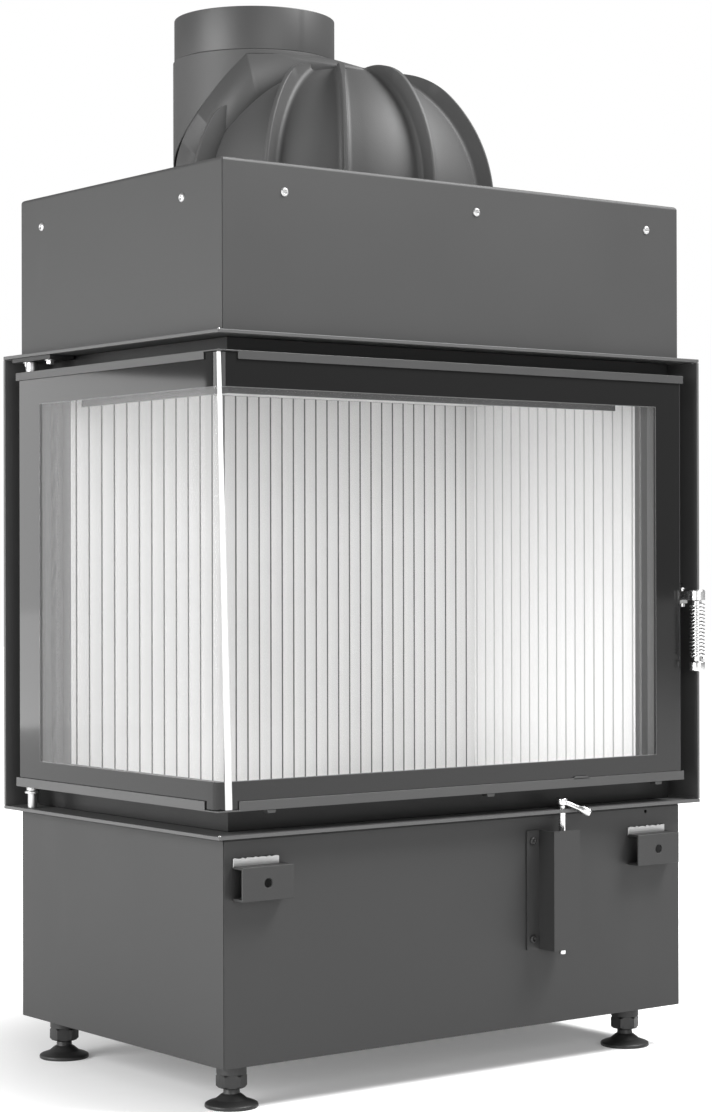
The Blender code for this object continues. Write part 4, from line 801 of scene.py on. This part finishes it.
def addDome():
    sizes = domeLook
    radius = sizes["radius"]
    profile = domeProfile(radius)
    section = ribSection()
    bearings = np.radians(sizes["bearings"])
    gap = 2 * math.pi / sizes["columns"]
    columns = []
    for turn in np.arange(-math.pi, math.pi, gap):
        if np.min(np.abs((turn - bearings + math.pi) % (2 * math.pi) - math.pi)) > sizes["ribClear"]:
            columns.append((turn, 0.0, 0.0))
    for turn in bearings:
        columns += [(turn, offset, height) for offset, height in section]
    columns.sort(key=lambda item: (item[0] + item[1] / radius + math.pi) % (2 * math.pi))
    turn, offset, height = np.array(columns).T
    lift = np.degrees(np.arctan2(np.maximum(profile[:, 1], 0), profile[:, 0]))
    start, end = sizes["fall"]

    # a rib keeps its height up to one angle above level, then drops on a parabola to the dome at a second
    share = np.clip((lift[:, None] - start) / (end - start), 0, 1)
    allowed = sizes["ribRise"] * (1 - share ** 2)
    allowed[profile[:, 0] > radius + sizes["flangeEdge"]] = 0
    allowed[profile[:, 1] < -sizes["skirt"] + sizes["flangeHeight"]] = 0
    rise = np.minimum(height[None, :], allowed)
    ball = profile[:, 1] > 0
    outX = np.where(ball, profile[:, 0] / radius, 1.0)[:, None]
    outZ = np.where(ball, profile[:, 1] / radius, 0.0)[:, None]
    level = profile[:, :1] + rise * outX
    rim = np.minimum(profile[:, :1], radius)
    angle = turn[None, :] + offset[None, :] / np.maximum(rim, sizes["poleRim"])
    points = np.stack([level * np.sin(angle), -level * np.cos(angle), profile[:, 1:] + rise * outZ], axis=2)
    shrink = 1 - sizes["wall"] / radius
    inside = np.stack([np.minimum(profile[:, 0], radius) * shrink,
                       np.where(profile[:, 1] > 0, profile[:, 1] * shrink, profile[:, 1])], axis=1)
    even = turn + offset / radius
    innerPoints = np.stack([inside[:, :1] * np.sin(even)[None, :], -inside[:, :1] * np.cos(even)[None, :],
                            np.repeat(inside[:, 1:], len(even), axis=1)], axis=2)
    outer, cut = mouthCut(points)
    within, _ = mouthCut(innerPoints)
    rows, count = outer.shape[:2]
    faces = gridFaces(rows, count, False, True)
    keep = ~cut.ravel()[faces].all(axis=1)
    shell = faces[keep]
    total = rows * count
    back = shell[:, ::-1] + total
    edges = np.vstack([shell[:, [0, 1]], shell[:, [1, 2]], shell[:, [2, 3]], shell[:, [3, 0]]])
    key = np.sort(edges, axis=1)
    _, first, amount = np.unique(key, axis=0, return_index=True, return_counts=True)
    border = edges[first[amount == 1]]
    border = border[~((border // count) == rows - 1).all(axis=1)]
    bridge = np.stack([border[:, 1], border[:, 0], border[:, 0] + total, border[:, 1] + total], axis=1)
    everything = np.vstack([outer.reshape(-1, 3), within.reshape(-1, 3)]) + domeCentre
    madePiece("fluedDomeCasting", everything, np.vstack([shell, back, bridge]).tolist(), "cast_iron", "root",
              ("flue_dome",), smooth=50)


# Points past the outlet's plane move onto the mouth's circle, so that the wall ends there.
def mouthCut(points):
    _, axis = outletAxis()
    plane = domeLook["plane"]
    along = points @ axis
    cut = along > plane
    flat = points - along[..., None] * axis
    length = np.maximum(np.linalg.norm(flat, axis=-1), 1e-6)
    size = np.linalg.norm(points, axis=-1)
    mouth = np.sqrt(np.maximum(size ** 2 - plane ** 2, 1e-6))
    moved = axis * plane + flat * (mouth / length)[..., None]
    return np.where(cut[..., None], moved, points), cut


# The two ribs beside the outlet are blades of their own: level up to one angle, then falling to the dome.
def addRibBlade(name, bearing, fall):
    sizes = domeLook
    root, crest = sizes["radius"] - sizes["wall"] / 2, sizes["radius"] + sizes["ribRise"]
    base = sizes["flangeHeight"] / 2 - sizes["skirt"]
    share = np.linspace(0, 1, 14)[1:]
    rise = np.radians(np.linspace(0, fall[0], 14))
    drop = np.radians(fall[0] + (fall[1] - fall[0]) * share)
    reach = root + (crest - root) * (1 - share ** 2)
    back = np.radians(np.linspace(fall[1], 0, 16))[1:]
    radii = np.concatenate([[root, crest], crest * np.cos(rise), reach * np.cos(drop), root * np.cos(back)])
    heights = np.concatenate([[base, base], crest * np.sin(rise), reach * np.sin(drop), root * np.sin(back)])
    turn = math.radians(bearing)
    outward = np.array([math.sin(turn), -math.cos(turn), 0])
    across = np.array([math.cos(turn), math.sin(turn), 0])
    ring = domeCentre + radii[:, None] * outward + heights[:, None] * np.array([0, 0, 1.0])
    half, count = across * sizes["ribThickness"] / 2, len(radii)
    faces = [*gridFaces(2, count, False, True).tolist(), list(range(count)), list(range(count, 2 * count))]
    madePiece(name, np.vstack([ring - half, ring + half]), faces, "cast_iron", "root",
              bevel=sizes["bladeEdge"])


addDome()
addRibBlade("shortRibBlade", domeLook["blades"][0], domeLook["shortFall"])
addRibBlade("rearRibBlade", domeLook["blades"][1], domeLook["fall"])
print("dome cast")

elbowLook = {"neck": 0.1015, "wall": 0.008, "jointDrop": 0.0327, "ring": 0.006, "gap": 0.0003, "around": 192,
             "along": 24, "overlap": 0.004, "shoulderTop": 66.0, "cornerTurn": -88.4, "cornerTilt": 53.2,
             "cornerRise": 0.004, "rimTurns": (1.90, 4.38), "rimSteps": 72, "rimDepth": 0.005,
             "rimGap": 0.001, "slitFrom": 0.055, "slitTurn": 8.0, "edge": 0.0008, "hullSteps": 96,
             "insideGap": 0.006}
neckCentre = np.array(footprint("flue_collar"))
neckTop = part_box("outlet_elbow")[1].z


# Rings round the collar's centre; the slanted joint cuts them at a height that falls away from the dome.
def aroundNeck(radius):
    level, _ = outletAxis()
    side = np.cross([0, 0, 1.0], level)
    angle = np.linspace(0, 2 * math.pi, elbowLook["around"], endpoint=False)
    spot = neckCentre + radius * (np.cos(angle)[:, None] * level + np.sin(angle)[:, None] * side)
    return spot, radius * np.cos(angle), angle


def jointHeight(outward):
    return neckTop - elbowLook["jointDrop"] - outward


def addElbow():
    sizes = elbowLook
    outer, outward, _ = aroundNeck(sizes["neck"])
    inner, inward, _ = aroundNeck(sizes["neck"] - sizes["wall"])

    def at(spot, height, radiusChange=0.0):
        moved = neckCentre + (spot - neckCentre) * (1 + radiusChange / sizes["neck"])
        moved[:, 2] = height
        return moved

    low = np.minimum(jointHeight(outward), neckTop - sizes["ring"])
    lowInside = np.minimum(jointHeight(inward), neckTop - sizes["ring"])
    edge = sizes["edge"]
    rings = [at(inner, neckTop), at(outer, neckTop, -edge), at(outer, neckTop - edge)]
    share = np.linspace(0, 1, sizes["along"])[1:-1]
    rings += [at(outer, neckTop - edge + (low + edge - neckTop + edge) * part) for part in share]
    rings += [at(outer, low + edge), at(outer, low, -edge), at(inner, lowInside)]
    faces = gridFaces(len(rings), sizes["around"], True, True)
    madePiece("outletElbowCasting", np.array(rings), faces, "cast_iron", "root", ("outlet_elbow",), smooth=40)


# A flat crescent under the collar's ring, from the ring's bore out to the neck's skin.
def addNeckRim(height, outward, sideways, level, side):
    sizes = elbowLook
    ways, steps, gap = np.arctan2(sideways, outward), sizes["rimSteps"], sizes["rimGap"]
    order = np.argsort(ways)
    turn = np.linspace(*sizes["rimTurns"], steps)
    reach = np.interp(turn, ways[order], np.hypot(outward, sideways)[order], period=2 * math.pi) - gap
    bore = np.full(steps, sizes["neck"] - sizes["wall"])
    reach = np.maximum(reach, bore + gap)
    away = np.cos(turn)[:, None] * level + np.sin(turn)[:, None] * side
    up, low = np.array([0, 0, height]), np.array([0, 0, height - sizes["rimDepth"]])
    rows = [neckCentre + away * bore[:, None] + up, neckCentre + away * reach[:, None] + up,
            neckCentre + away * reach[:, None] + low, neckCentre + away * bore[:, None] + low]
    points = np.stack(rows, axis=1)
    last = 4 * (steps - 1)
    faces = [*gridFaces(steps, 4, False, True).tolist(), list(range(4)), list(range(last, last + 4))]
    madePiece("neckTopRim", points, faces, "cast_iron", "root", smooth=40)


# The neck is the hull of the dome's mouth, the joint, a corner in front and a ring near the dome's top.
# Planes cut it at the joint and under the collar's ring. Its open skin then gets its thickness inwards.
def addNeck():
    sizes = elbowLook
    level, axis = outletAxis()
    side = np.cross([0, 0, 1.0], level)
    slope = np.cross(side, axis)
    steps = sizes["hullSteps"]
    angle = np.linspace(0, 2 * math.pi, steps, endpoint=False)
    mouth = math.sqrt(domeLook["radius"] ** 2 - domeLook["plane"] ** 2)
    around = np.cos(angle)[:, None] * slope + np.sin(angle)[:, None] * side
    points = [domeCentre + axis * (domeLook["plane"] - sizes["overlap"]) + mouth * around]
    spot, outward, _ = aroundNeck(sizes["neck"])
    joint, top = spot.copy(), spot.copy()
    joint[:, 2] = np.minimum(jointHeight(outward), neckTop) - sizes["overlap"]
    top[:, 2] = neckTop
    points += [joint, top]
    high = math.radians(sizes["shoulderTop"])
    upper = np.stack([np.cos(angle) * math.cos(high), np.sin(angle) * math.cos(high),
                      np.full(steps, math.sin(high))], axis=1)
    points.append(domeCentre + upper * domeLook["radius"])
    turn, tilt = math.radians(sizes["cornerTurn"]), math.radians(sizes["cornerTilt"])
    corner = np.array([math.sin(turn) * math.cos(tilt), -math.cos(turn) * math.cos(tilt), math.sin(tilt)])
    points.append((domeCentre + corner * (domeLook["radius"] + sizes["cornerRise"]))[None])
    work = bmesh.new()
    for point in np.vstack(points):
        work.verts.new(point)
    bmesh.ops.convex_hull(work, input=work.verts)
    bmesh.ops.delete(work, geom=[vert for vert in work.verts if not vert.link_faces], context="VERTS")
    lean = math.radians(sizes["slitTurn"])
    slit = axis * math.cos(lean) + slope * math.sin(lean)
    start = neckCentre + level * sizes["slitFrom"]
    start[2] = float(jointHeight(sizes["slitFrom"]))
    middleJoint = neckCentre + (0, 0, neckTop - sizes["jointDrop"])
    ring = neckCentre + (0, 0, neckTop - sizes["ring"])
    up = np.array([0, 0, 1.0])
    planes = ((middleJoint - axis * sizes["gap"], axis), (ring - up * sizes["gap"], up), (start, slit))
    for place, direction in planes:
        everything = [*work.verts, *work.edges, *work.faces]
        bmesh.ops.bisect_plane(work, geom=everything, plane_co=place, plane_no=direction, clear_outer=True)
    onSeat = [vert.co[:] for vert in work.verts if abs(vert.co.z - ring[2] + sizes["gap"]) < 1e-5]
    flat = np.array(onSeat) - neckCentre
    addNeckRim(ring[2] - sizes["gap"], flat @ level, flat @ side, level, side)
    bmesh.ops.recalc_face_normals(work, faces=work.faces)
    within = domeLook["radius"] - sizes["insideGap"]
    inner = [face for face in work.faces
             if np.linalg.norm(np.array(face.calc_center_median()) - domeCentre) < within]
    bmesh.ops.delete(work, geom=inner, context="FACES")
    points = np.array([vert.co[:] for vert in work.verts])
    work.verts.index_update()
    faces = [[vert.index for vert in face.verts] for face in work.faces]
    work.free()
    neck = madePiece("domeNeckCasting", points, faces, "cast_iron", "root", smooth=42)
    thick = neck.modifiers.new("thickness", "SOLIDIFY")
    thick.thickness, thick.offset = domeLook["wall"], -1.0


collarLook = {"radius": 0.100, "wall": 0.0025, "spigot": 0.0932, "spigotWall": 0.003, "seam": 0.0006,
              "seamWidth": 0.016, "seamPitch": 2600, "round": 0.0009, "steps": 192}


def addCollar():
    sizes = collarLook
    low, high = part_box("flue_collar")
    centre = footprint("flue_collar")
    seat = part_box("outlet_elbow")[1].z + seatGap
    radius, wall = sizes["radius"], sizes["wall"]
    inner = sizes["spigot"] - sizes["spigotWall"]
    outline = [(radius, high.z), (radius, seat), (sizes["spigot"], seat), (sizes["spigot"], low.z),
               (inner, low.z), (inner, seat + wall), (radius - wall, seat + wall), (radius - wall, high.z)]

    def seam(radii, height, angle):
        # a welded seam runs up the front, at an angle of minus a quarter turn
        away = (angle - 1.5 * math.pi) / sizes["seamWidth"]
        lift = sizes["seam"] * np.exp(-away ** 2) * (0.8 + 0.2 * np.sin(height * sizes["seamPitch"]))
        return radii - lift * (radii > radius * 0.99), height

    shape = turned(rounded(outline, sizes["round"], 3), centre, "z", sizes["steps"], seam)
    collar = madePiece("flueCollarTurned", *shape, "frame_steel", "root", ("flue_collar",), smooth=40)
    collar.data.materials[0] = finishes["flue_paint"]


hoodLook = {"sheet": 0.004, "round": 0.0008, "steps": 128}


def addHood():
    low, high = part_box("smoke_hood")
    centre = footprint("smoke_hood")
    outer, sheet = domeLook["radius"], hoodLook["sheet"]
    rim = (high.x - low.x) / 2
    outline = [(outer, low.z), (outer, high.z - sheet), (rim, high.z - sheet), (rim, high.z),
               (outer - sheet, high.z), (outer - sheet, low.z)]
    shape = turned(rounded(outline, hoodLook["round"], 3), centre, "z", hoodLook["steps"])
    madePiece("smokeHoodTurned", *shape, "frame_steel", "root", ("smoke_hood",), smooth=40)


# Weld beads: a chain of overlapping drops, as a tube whose radius swells along its path.
def weldBead(path, radius, pitch):
    path = np.asarray(path, float)
    step = np.r_[0, np.cumsum(np.linalg.norm(np.diff(path, axis=0), axis=1))]
    fine = np.arange(0, step[-1], pitch / 5)
    smooth = np.stack([np.interp(fine, step, path[:, axis]) for axis in range(3)], axis=1)
    swell = 0.8 + 0.2 * np.abs(np.sin(math.pi * fine / pitch))
    swell[0] = swell[-1] = 0.25
    return swept(smooth, ring(radius, 8), radii=swell)


domeBolts = {"bearings": (-47.0, -16.0, 24.0, 66.0, 102.0, 138.0, 175.0), "radius": 0.0055, "height": 0.0045,
             "sunk": 0.0003}


def addDomeBolts():
    heads = []
    flangeTop = domeCentre[2] - domeLook["skirt"] + domeLook["flangeHeight"] - domeBolts["sunk"]
    out = domeLook["radius"] + domeLook["flange"] * 0.5
    for bearing in domeBolts["bearings"]:
        turn = math.radians(bearing)
        place = (domeCentre[0] + out * math.sin(turn), domeCentre[1] - out * math.cos(turn), flangeTop)
        heads.append(hexHead(place, "z", domeBolts["radius"], domeBolts["height"]))
    madePiece("domeFlangeBolts", *together(*heads), "zinc", "root", smooth=25)


addElbow()
addNeck()
addCollar()
addHood()
addDomeBolts()
print("flue side built")


glassLook = {"radius": 0.013, "thickness": 0.004, "printRight": 0.634, "printRear": 0.364, "printTop": 0.796,
             "printBottom": 0.3665, "softness": 0.0004, "clearAlpha": 0.035, "smearAlpha": 0.02,
             "sideAlpha": 0.05, "clearTone": 0.80, "inkTone": 0.012, "roughness": 0.015, "specular": 0.28,
             "cornerBack": 0.0050, "edgeRound": 0.0009, "smearScale": 6.0,
             "smearStretch": (1.0, 1.0, 0.3), "smearRough": 0.03, "inkRough": 0.04, "bending": 1.5,
             "dotScale": 600.0, "dotTones": (0.9, 1.15), "waveScale": 12.0, "waveBump": 0.04,
             "waveDepth": 0.0006, "highlightTop": 0.8344, "lineFoot": 0.3354, "highlightAt": -0.0026,
             "highlightLean": 0.0100, "highlightHalf": 0.0022,
             "highlightGrowth": 0.0016, "highlightTone": 0.95, "highlightAlpha": 0.75, "highlightWay": (0.826, 0.563)}
glassLow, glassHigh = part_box("door_glass")
glassLook["cornerY"] = glassLow.y + glassLook["cornerBack"]
glassLook["bendX"] = glassLow.x + glassLook["radius"]
glassLook["bendY"] = glassLow.y + glassLook["radius"]
glassLook["printRight"] += casingLeft
glassLook["printRear"] += casingFront
finishes["ceramic_glass"] = printedGlass("ceramicGlass", glassLook)


# The pane's path runs forward along the side, round the bend and along the front. Its section is the sheet's.
def addGlass():
    thick, bend = glassLook["thickness"], glassLook["radius"]
    mid = bend - thick / 2
    left, front = glassLow.x + thick / 2, glassLow.y + thick / 2
    along = np.linspace(glassHigh.y, front + mid, 24)
    side = np.stack([np.full(24, left), along], axis=1)
    angle = np.linspace(math.pi, 1.5 * math.pi, 18)[1:-1]
    corner = np.stack([left + mid + mid * np.cos(angle), front + mid + mid * np.sin(angle)], axis=1)
    across = np.linspace(left + mid, glassHigh.x, 32)
    ahead = np.stack([across, np.full(32, front)], axis=1)
    plan = np.vstack([side, corner, ahead])
    centre = (glassLow.z + glassHigh.z) / 2
    path = np.column_stack([plan, np.full(len(plan), centre)])
    half = (glassHigh.z - glassLow.z) / 2
    outline = [(-thick / 2, -half), (thick / 2, -half), (thick / 2, half), (-thick / 2, half)]
    edge = rounded(outline, glassLook["edgeRound"], 3)
    madePiece("bentGlass", *swept(path, edge), "ceramic_glass", "door", ("door_glass",), smooth=50)


addGlass()
liningEdge = 0.00035
for node in ("back_lining", "right_lining"):
    easedNode(node, liningEdge)
print("glass and lining set")


hingeLook = {"pin": 0.004, "post": 0.0055, "washer": 0.009, "washerHeight": 0.003, "bush": 0.007, "steps": 48,
             "round": 0.0006, "play": 0.0005, "plate": 0.005, "boltIn": 0.012, "boltAlong": (0.359, 0.411),
             "boltRadius": 0.0050, "boltHeight": 0.0045, "sunk": 0.0003}


def addHinges():
    sizes = hingeLook
    low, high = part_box("hinge_bottom_post")
    centre = footprint("hinge_bottom_post")
    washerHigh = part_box("hinge_lower_bush")[0].z - seatGap
    washerLow = washerHigh - sizes["washerHeight"]
    outline = [(0, high.z), (sizes["pin"], high.z), (sizes["pin"], washerHigh), (sizes["washer"], washerHigh),
               (sizes["washer"], washerLow), (sizes["post"], washerLow), (sizes["post"], low.z), (0, low.z)]
    profile = rounded(outline, sizes["round"], 3)
    post = turned(profile, centre, "z", sizes["steps"])
    madePiece("hingePostTurned", *post, "zinc", "root", ("hinge_bottom_post",))
    for name in ("hinge_lower_bush", "hinge_upper_bush"):
        low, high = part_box(name)
        bore = sizes["pin"] + sizes["play"]
        outline = [(sizes["bush"], high.z), (sizes["bush"], low.z), (bore, low.z), (bore, high.z)]
        shape = turned(rounded(outline, sizes["round"], 3), centre, "z", sizes["steps"])
        madePiece(f"{name}_turned", *shape, "zinc", "door", (name,))
    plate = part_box("hinge_top_bracket")
    plateLow = plate[1].z - sizes["plate"]
    bolts = []
    for along in sizes["boltAlong"]:
        place = (plate[0].x + sizes["boltIn"], casingFront + along, plateLow + sizes["sunk"])
        bolts.append(hexHead(place, "z", sizes["boltRadius"], sizes["boltHeight"], -1))
    madePiece("hingeBracketBolts", *together(*bolts), "zinc", "root", smooth=25)


addHinges()
print("hinges set")


handleLook = {"grip": 0.0098, "wire": 0.0012, "turns": 15, "core": 0.0055, "nut": 0.0048, "perTurn": 30,
              "leverEdge": 0.0009, "gripRound": 0.0016, "nutRise": 0.0014, "nutShare": 0.86, "shank": 0.003,
              "seat": 0.0003, "play": 0.0005}


def addHandle():
    sizes = handleLook
    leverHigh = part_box("handle_lever")[1]
    coilLow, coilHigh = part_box("grip_coil")
    coreLow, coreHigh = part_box("grip_core")
    grip = Vector(((coreLow.x + coreHigh.x) / 2, (coreLow.y + coreHigh.y) / 2, 0))
    seat = sizes["seat"]
    easedNode("handle_lever", sizes["leverEdge"])
    outline = [(0, coreHigh.z), (sizes["core"], coreHigh.z), (sizes["core"], coilLow.z - seat),
               (sizes["grip"], coilLow.z - seat), (sizes["grip"], coreLow.z), (0, coreLow.z)]
    profile = rounded(outline, sizes["gripRound"], 4)
    madePiece("gripCoreTurned", *turned(profile, grip, "z", 56), "bright_metal", "handle", ("grip_core",))
    radius = sizes["grip"] - sizes["wire"]
    reach = 4 * sizes["wire"]
    first, last = coilLow.z + reach, coilHigh.z - reach
    count = sizes["turns"] * sizes["perTurn"]
    angle = np.linspace(0, 2 * math.pi * sizes["turns"], count + 1)
    climb = np.linspace(first, last, count + 1)
    # the ends turn upright on an arc and run straight into the caps
    lean = np.radians(np.linspace(0, 90, 8))[1:]
    bend = 2 * sizes["wire"]
    swing, rise = bend * np.sin(lean) / radius, bend * (1 - np.cos(lean))
    angle = np.r_[-swing[::-1], angle, angle[-1] + swing]
    climb = np.r_[(first - rise)[::-1], climb, last + rise]
    angle = np.r_[angle[0], angle, angle[-1]]
    climb = np.r_[coilLow.z, climb, coilHigh.z]
    path = np.stack([grip.x + radius * np.cos(angle), grip.y + radius * np.sin(angle), climb], axis=1)
    coil = wound(path, grip, sizes["wire"], 10)
    madePiece("gripCoilWound", *coil, "bright_metal", "handle", ("grip_coil",), smooth=60)
    boltLow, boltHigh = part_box("handle_bolt")
    pivot = footprint("handle_bolt")
    top = leverHigh.z + sizes["play"]
    radius = sizes["nut"]
    lift = np.linspace(0, math.pi / 2, 9)
    rise, shank = sizes["nutRise"], sizes["shank"]
    crown = top + rise + (boltHigh.z - top - rise) * np.sin(lift)
    dome = np.stack([radius * sizes["nutShare"] * np.cos(lift), crown], axis=1)
    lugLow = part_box("handle_lug")[0].z - seat
    outline = np.vstack([[(radius, top), (radius, top + rise)], dome, [(0, boltLow.z), (radius, boltLow.z)],
                         [(radius, lugLow), (shank, lugLow), (shank, top)]])
    madePiece("handleBoltTurned", *turned(outline, pivot, "z", 40), "bright_metal", "door", ("handle_bolt",))


# A tube round a helix: each ring lies between the helix's own outward direction and the upright one.
def wound(path, centre, radius, sides):
    outward = path - np.array([centre.x, centre.y, 0])
    outward[:, 2] = 0
    outward /= np.linalg.norm(outward, axis=1)[:, None]
    tangent = np.gradient(path, axis=0)
    tangent /= np.linalg.norm(tangent, axis=1)[:, None]
    across = np.cross(tangent, outward)
    across /= np.linalg.norm(across, axis=1)[:, None]
    section = ring(radius, sides)
    points = path[:, None] + outward[:, None] * section[None, :, :1] + across[:, None] * section[None, :, 1:]
    faces = gridFaces(len(path), sides, False, True).tolist()
    total = len(path) * sides
    return points.reshape(-1, 3), [*faces, list(range(sides)), list(range(total - sides, total))]


addHandle()
print("handle set")


airLook = {"rod": 0.004, "hub": 0.0065, "hubHeight": 0.008, "lever": 0.0035, "length": 0.024, "tip": 0.0052,
           "tipLength": 0.013, "bearing": -42.0, "droop": 22.0, "fromRight": 0.2045, "fromFront": 0.010,
           "round": 0.0012, "shares": (0.10, 0.30, 0.55, 0.60, 0.66, 0.72, 0.94, 0.985, 1.0)}
guardScrews = {"radius": 0.0050, "height": 0.0026, "across": 0.0092, "along": 0.0277, "sunk": 0.0002,
               "low": 0.013, "high": 0.0126}


def addAirLever():
    sizes = airLook
    low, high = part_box("air_lever")
    guardLow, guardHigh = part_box("air_guard")
    centre = np.array([casingRight - sizes["fromRight"], casingFront - sizes["fromFront"], 0.0])
    half = sizes["hubHeight"] / 2
    top = high.z - half
    outline = [(0, low.z), (sizes["rod"], low.z), (sizes["rod"], top - half), (sizes["hub"], top - half),
               (sizes["hub"], top + half), (0, top + half)]
    profile = rounded(outline, sizes["round"], 4)
    spindle = turned(profile, centre, "z", 40)
    bearing, droop = math.radians(sizes["bearing"]), math.radians(sizes["droop"])
    level = math.cos(droop)
    direction = np.array([math.cos(bearing) * level, math.sin(bearing) * level, -math.sin(droop)])
    start = centre + (0, 0, top)
    share = np.array(sizes["shares"])
    reach = sizes["length"] + sizes["tipLength"]
    thin, thick = sizes["lever"], sizes["tip"]
    radii = np.array([thin, thin, thin, thin * 1.1, thick * 0.9, thick, thick, thick * 0.8, thick * 0.35])
    arm = swept(start + direction * reach * share[:, None], ring(1.0, 28), radii=radii)
    lever = together(spindle, arm)
    madePiece("airLeverTurned", *lever, "bright_metal", "air_lever", ("air_lever",), smooth=50)
    screws, spots = [], guardScrews
    for lift in (spots["low"], guardHigh.z - guardLow.z - spots["high"]):
        place = (guardLow.x + spots["across"], guardLow.y + spots["along"] - spots["sunk"], guardLow.z + lift)
        screws.append(screwHead(place, "y", spots["radius"], spots["height"], -1))
    madePiece("guardScrews", *together(*screws), "black_iron", "root")


addAirLever()
print("air control set")


bracketLook = {"bend": 0.0011, "backHeight": 0.0085, "backShort": 0.008, "sheet": 0.0019, "roughness": 0.0005,
               "pitches": (700, 1900), "gap": 0.0003, "edge": 0.0004}


# The bracket's back sheet stands over its front; its upper edge is cut roughly, as a sum of two sine waves.
def addBracket(side):
    node, sizes = f"facade_bracket_{side}", bracketLook
    easedNode(node, sizes["bend"])
    low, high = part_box(node)
    across = np.linspace(low.x, high.x - sizes["backShort"], 30)
    coarse, finer = sizes["pitches"]
    wave = np.sin(across * coarse) + 0.6 * np.sin(across * finer + 1)
    upper = np.column_stack([across, high.z + sizes["backHeight"] + sizes["roughness"] * wave])
    foot = high.z - sizes["sheet"]
    outline = np.vstack([upper, [(across[-1], foot), (across[0], foot)]])
    behind = casingFront - sizes["gap"]
    back = extruded(outline, "y", behind - sizes["sheet"], behind)
    madePiece(f"{side}BracketBack", *back, "zinc", "root", bevel=sizes["edge"])


inletLook = {"radius": 0.0625, "wall": 0.0015, "bead": 0.0016, "beadAt": (0.016, 0.0135, 0.011),
             "round": 0.0007, "rivetOut": 0.0065, "rivetTurns": (45, 135, 225, 315), "rivetRadius": 0.0030,
             "rivetHeight": 0.0016, "sunk": 0.0002, "steps": 128}


def addInlet():
    sizes = inletLook
    low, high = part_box("air_inlet_collar")
    centre = ((low.x + high.x) / 2, 0, (low.z + high.z) / 2)
    radius, flange, wall = sizes["radius"], (high.x - low.x) / 2, sizes["wall"]
    foot, crest, head = sizes["beadAt"]
    bead = [(radius, high.y - foot), (radius + sizes["bead"], high.y - crest), (radius, high.y - head)]
    outline = [(flange, low.y), (flange, low.y + wall), (radius, low.y + wall), *bead, (radius, high.y),
               (radius - wall, high.y), (radius - wall, low.y)]
    shape = turned(rounded(outline, sizes["round"], 3), centre, "y", sizes["steps"])
    madePiece("airInletTurned", *shape, "casing_steel", "root", ("air_inlet_collar",), smooth=40)
    rivets = []
    out, face = radius + sizes["rivetOut"], low.y + wall - sizes["sunk"]
    for turn in np.radians(sizes["rivetTurns"]):
        place = (centre[0] + out * math.cos(turn), face, centre[2] + out * math.sin(turn))
        rivets.append(screwHead(place, "y", sizes["rivetRadius"], sizes["rivetHeight"]))
    madePiece("inletRivets", *together(*rivets), "zinc", "root")


for side in ("left", "right"):
    addBracket(side)
addInlet()
print("brackets and inlet set")


catchLook = {"across": (0.052, 0.367, 0.638), "halfTop": 0.006, "halfFoot": 0.005, "gap": 0.0003,
             "depth": 0.0040, "front": 0.002, "back": 0.012, "edge": 0.0004}
tabLook = {"start": 0.494, "end": 0.522, "rise": 0.0018, "foot": 0.0015, "slope": 0.004, "sheet": 0.0010,
           "edge": 0.0003}


# Catches under the door's bottom rail and the pointer tab on it.
def addDoorTrim():
    sizes, tab = catchLook, tabLook
    low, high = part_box("door_bottom_rail")
    face, upper, lower = low.y, low.z - sizes["gap"], low.z - sizes["depth"]
    catches = []
    for across in sizes["across"]:
        x = casingLeft + across
        outline = [(x - sizes["halfTop"], upper), (x + sizes["halfTop"], upper),
                   (x + sizes["halfFoot"], lower), (x - sizes["halfFoot"], lower)]
        catches.append(extruded(outline, "y", face + sizes["front"], face + sizes["back"]))
    madePiece("doorCatches", *together(*catches), "door_steel", "door", bevel=sizes["edge"])
    start, end = casingLeft + tab["start"], casingLeft + tab["end"]
    top, foot = high.z + tab["rise"], high.z - tab["foot"]
    outline = [(start, foot), (end, foot), (end - tab["slope"], top), (start + tab["slope"], top)]
    shape = extruded(outline, "y", face, face + tab["sheet"])
    madePiece("pointerTab", *shape, "door_steel", "door", bevel=tab["edge"])


weldLook = {"radius": 0.0016, "pitch": 0.0045, "inset": 0.0006, "ends": 0.006, "spotAt": 0.0022,
            "spotRound": 0.0003,
            "spot": ((0, 0.0016), (0.0012, 0.0012), (0.0019, 0.0), (0.0019, -0.001), (0, -0.001))}


# Beads where the right plate meets the top and bottom plates, and a bright spot at two of their corners.
def addWelds():
    sizes = weldLook
    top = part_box("frame_top_plate")
    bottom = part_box("frame_bottom_plate")
    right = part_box("frame_right_plate")
    beads = []
    side, start, end = right[0].x - sizes["inset"], right[0].y + sizes["ends"], right[1].y - sizes["ends"]
    for level in (top[0].z - sizes["inset"], bottom[1].z + sizes["inset"]):
        beads.append(weldBead([(side, start, level), (side, end, level)], sizes["radius"], sizes["pitch"]))
    madePiece("surroundWelds", *together(*beads), "frame_steel", "root", smooth=60)
    spots = []
    drop = rounded(sizes["spot"], sizes["spotRound"], 2, closed=False)
    for plate in (top, bottom):
        place = (plate[0].x + sizes["spotAt"], plate[0].y + sizes["spotAt"], plate[1].z)
        spots.append(turned(drop, place, "z", 20))
    madePiece("cornerWeldSpots", *together(*spots), "bright_metal", "root", smooth=60)


addDoorTrim()
addWelds()
print("door trim and welds set")
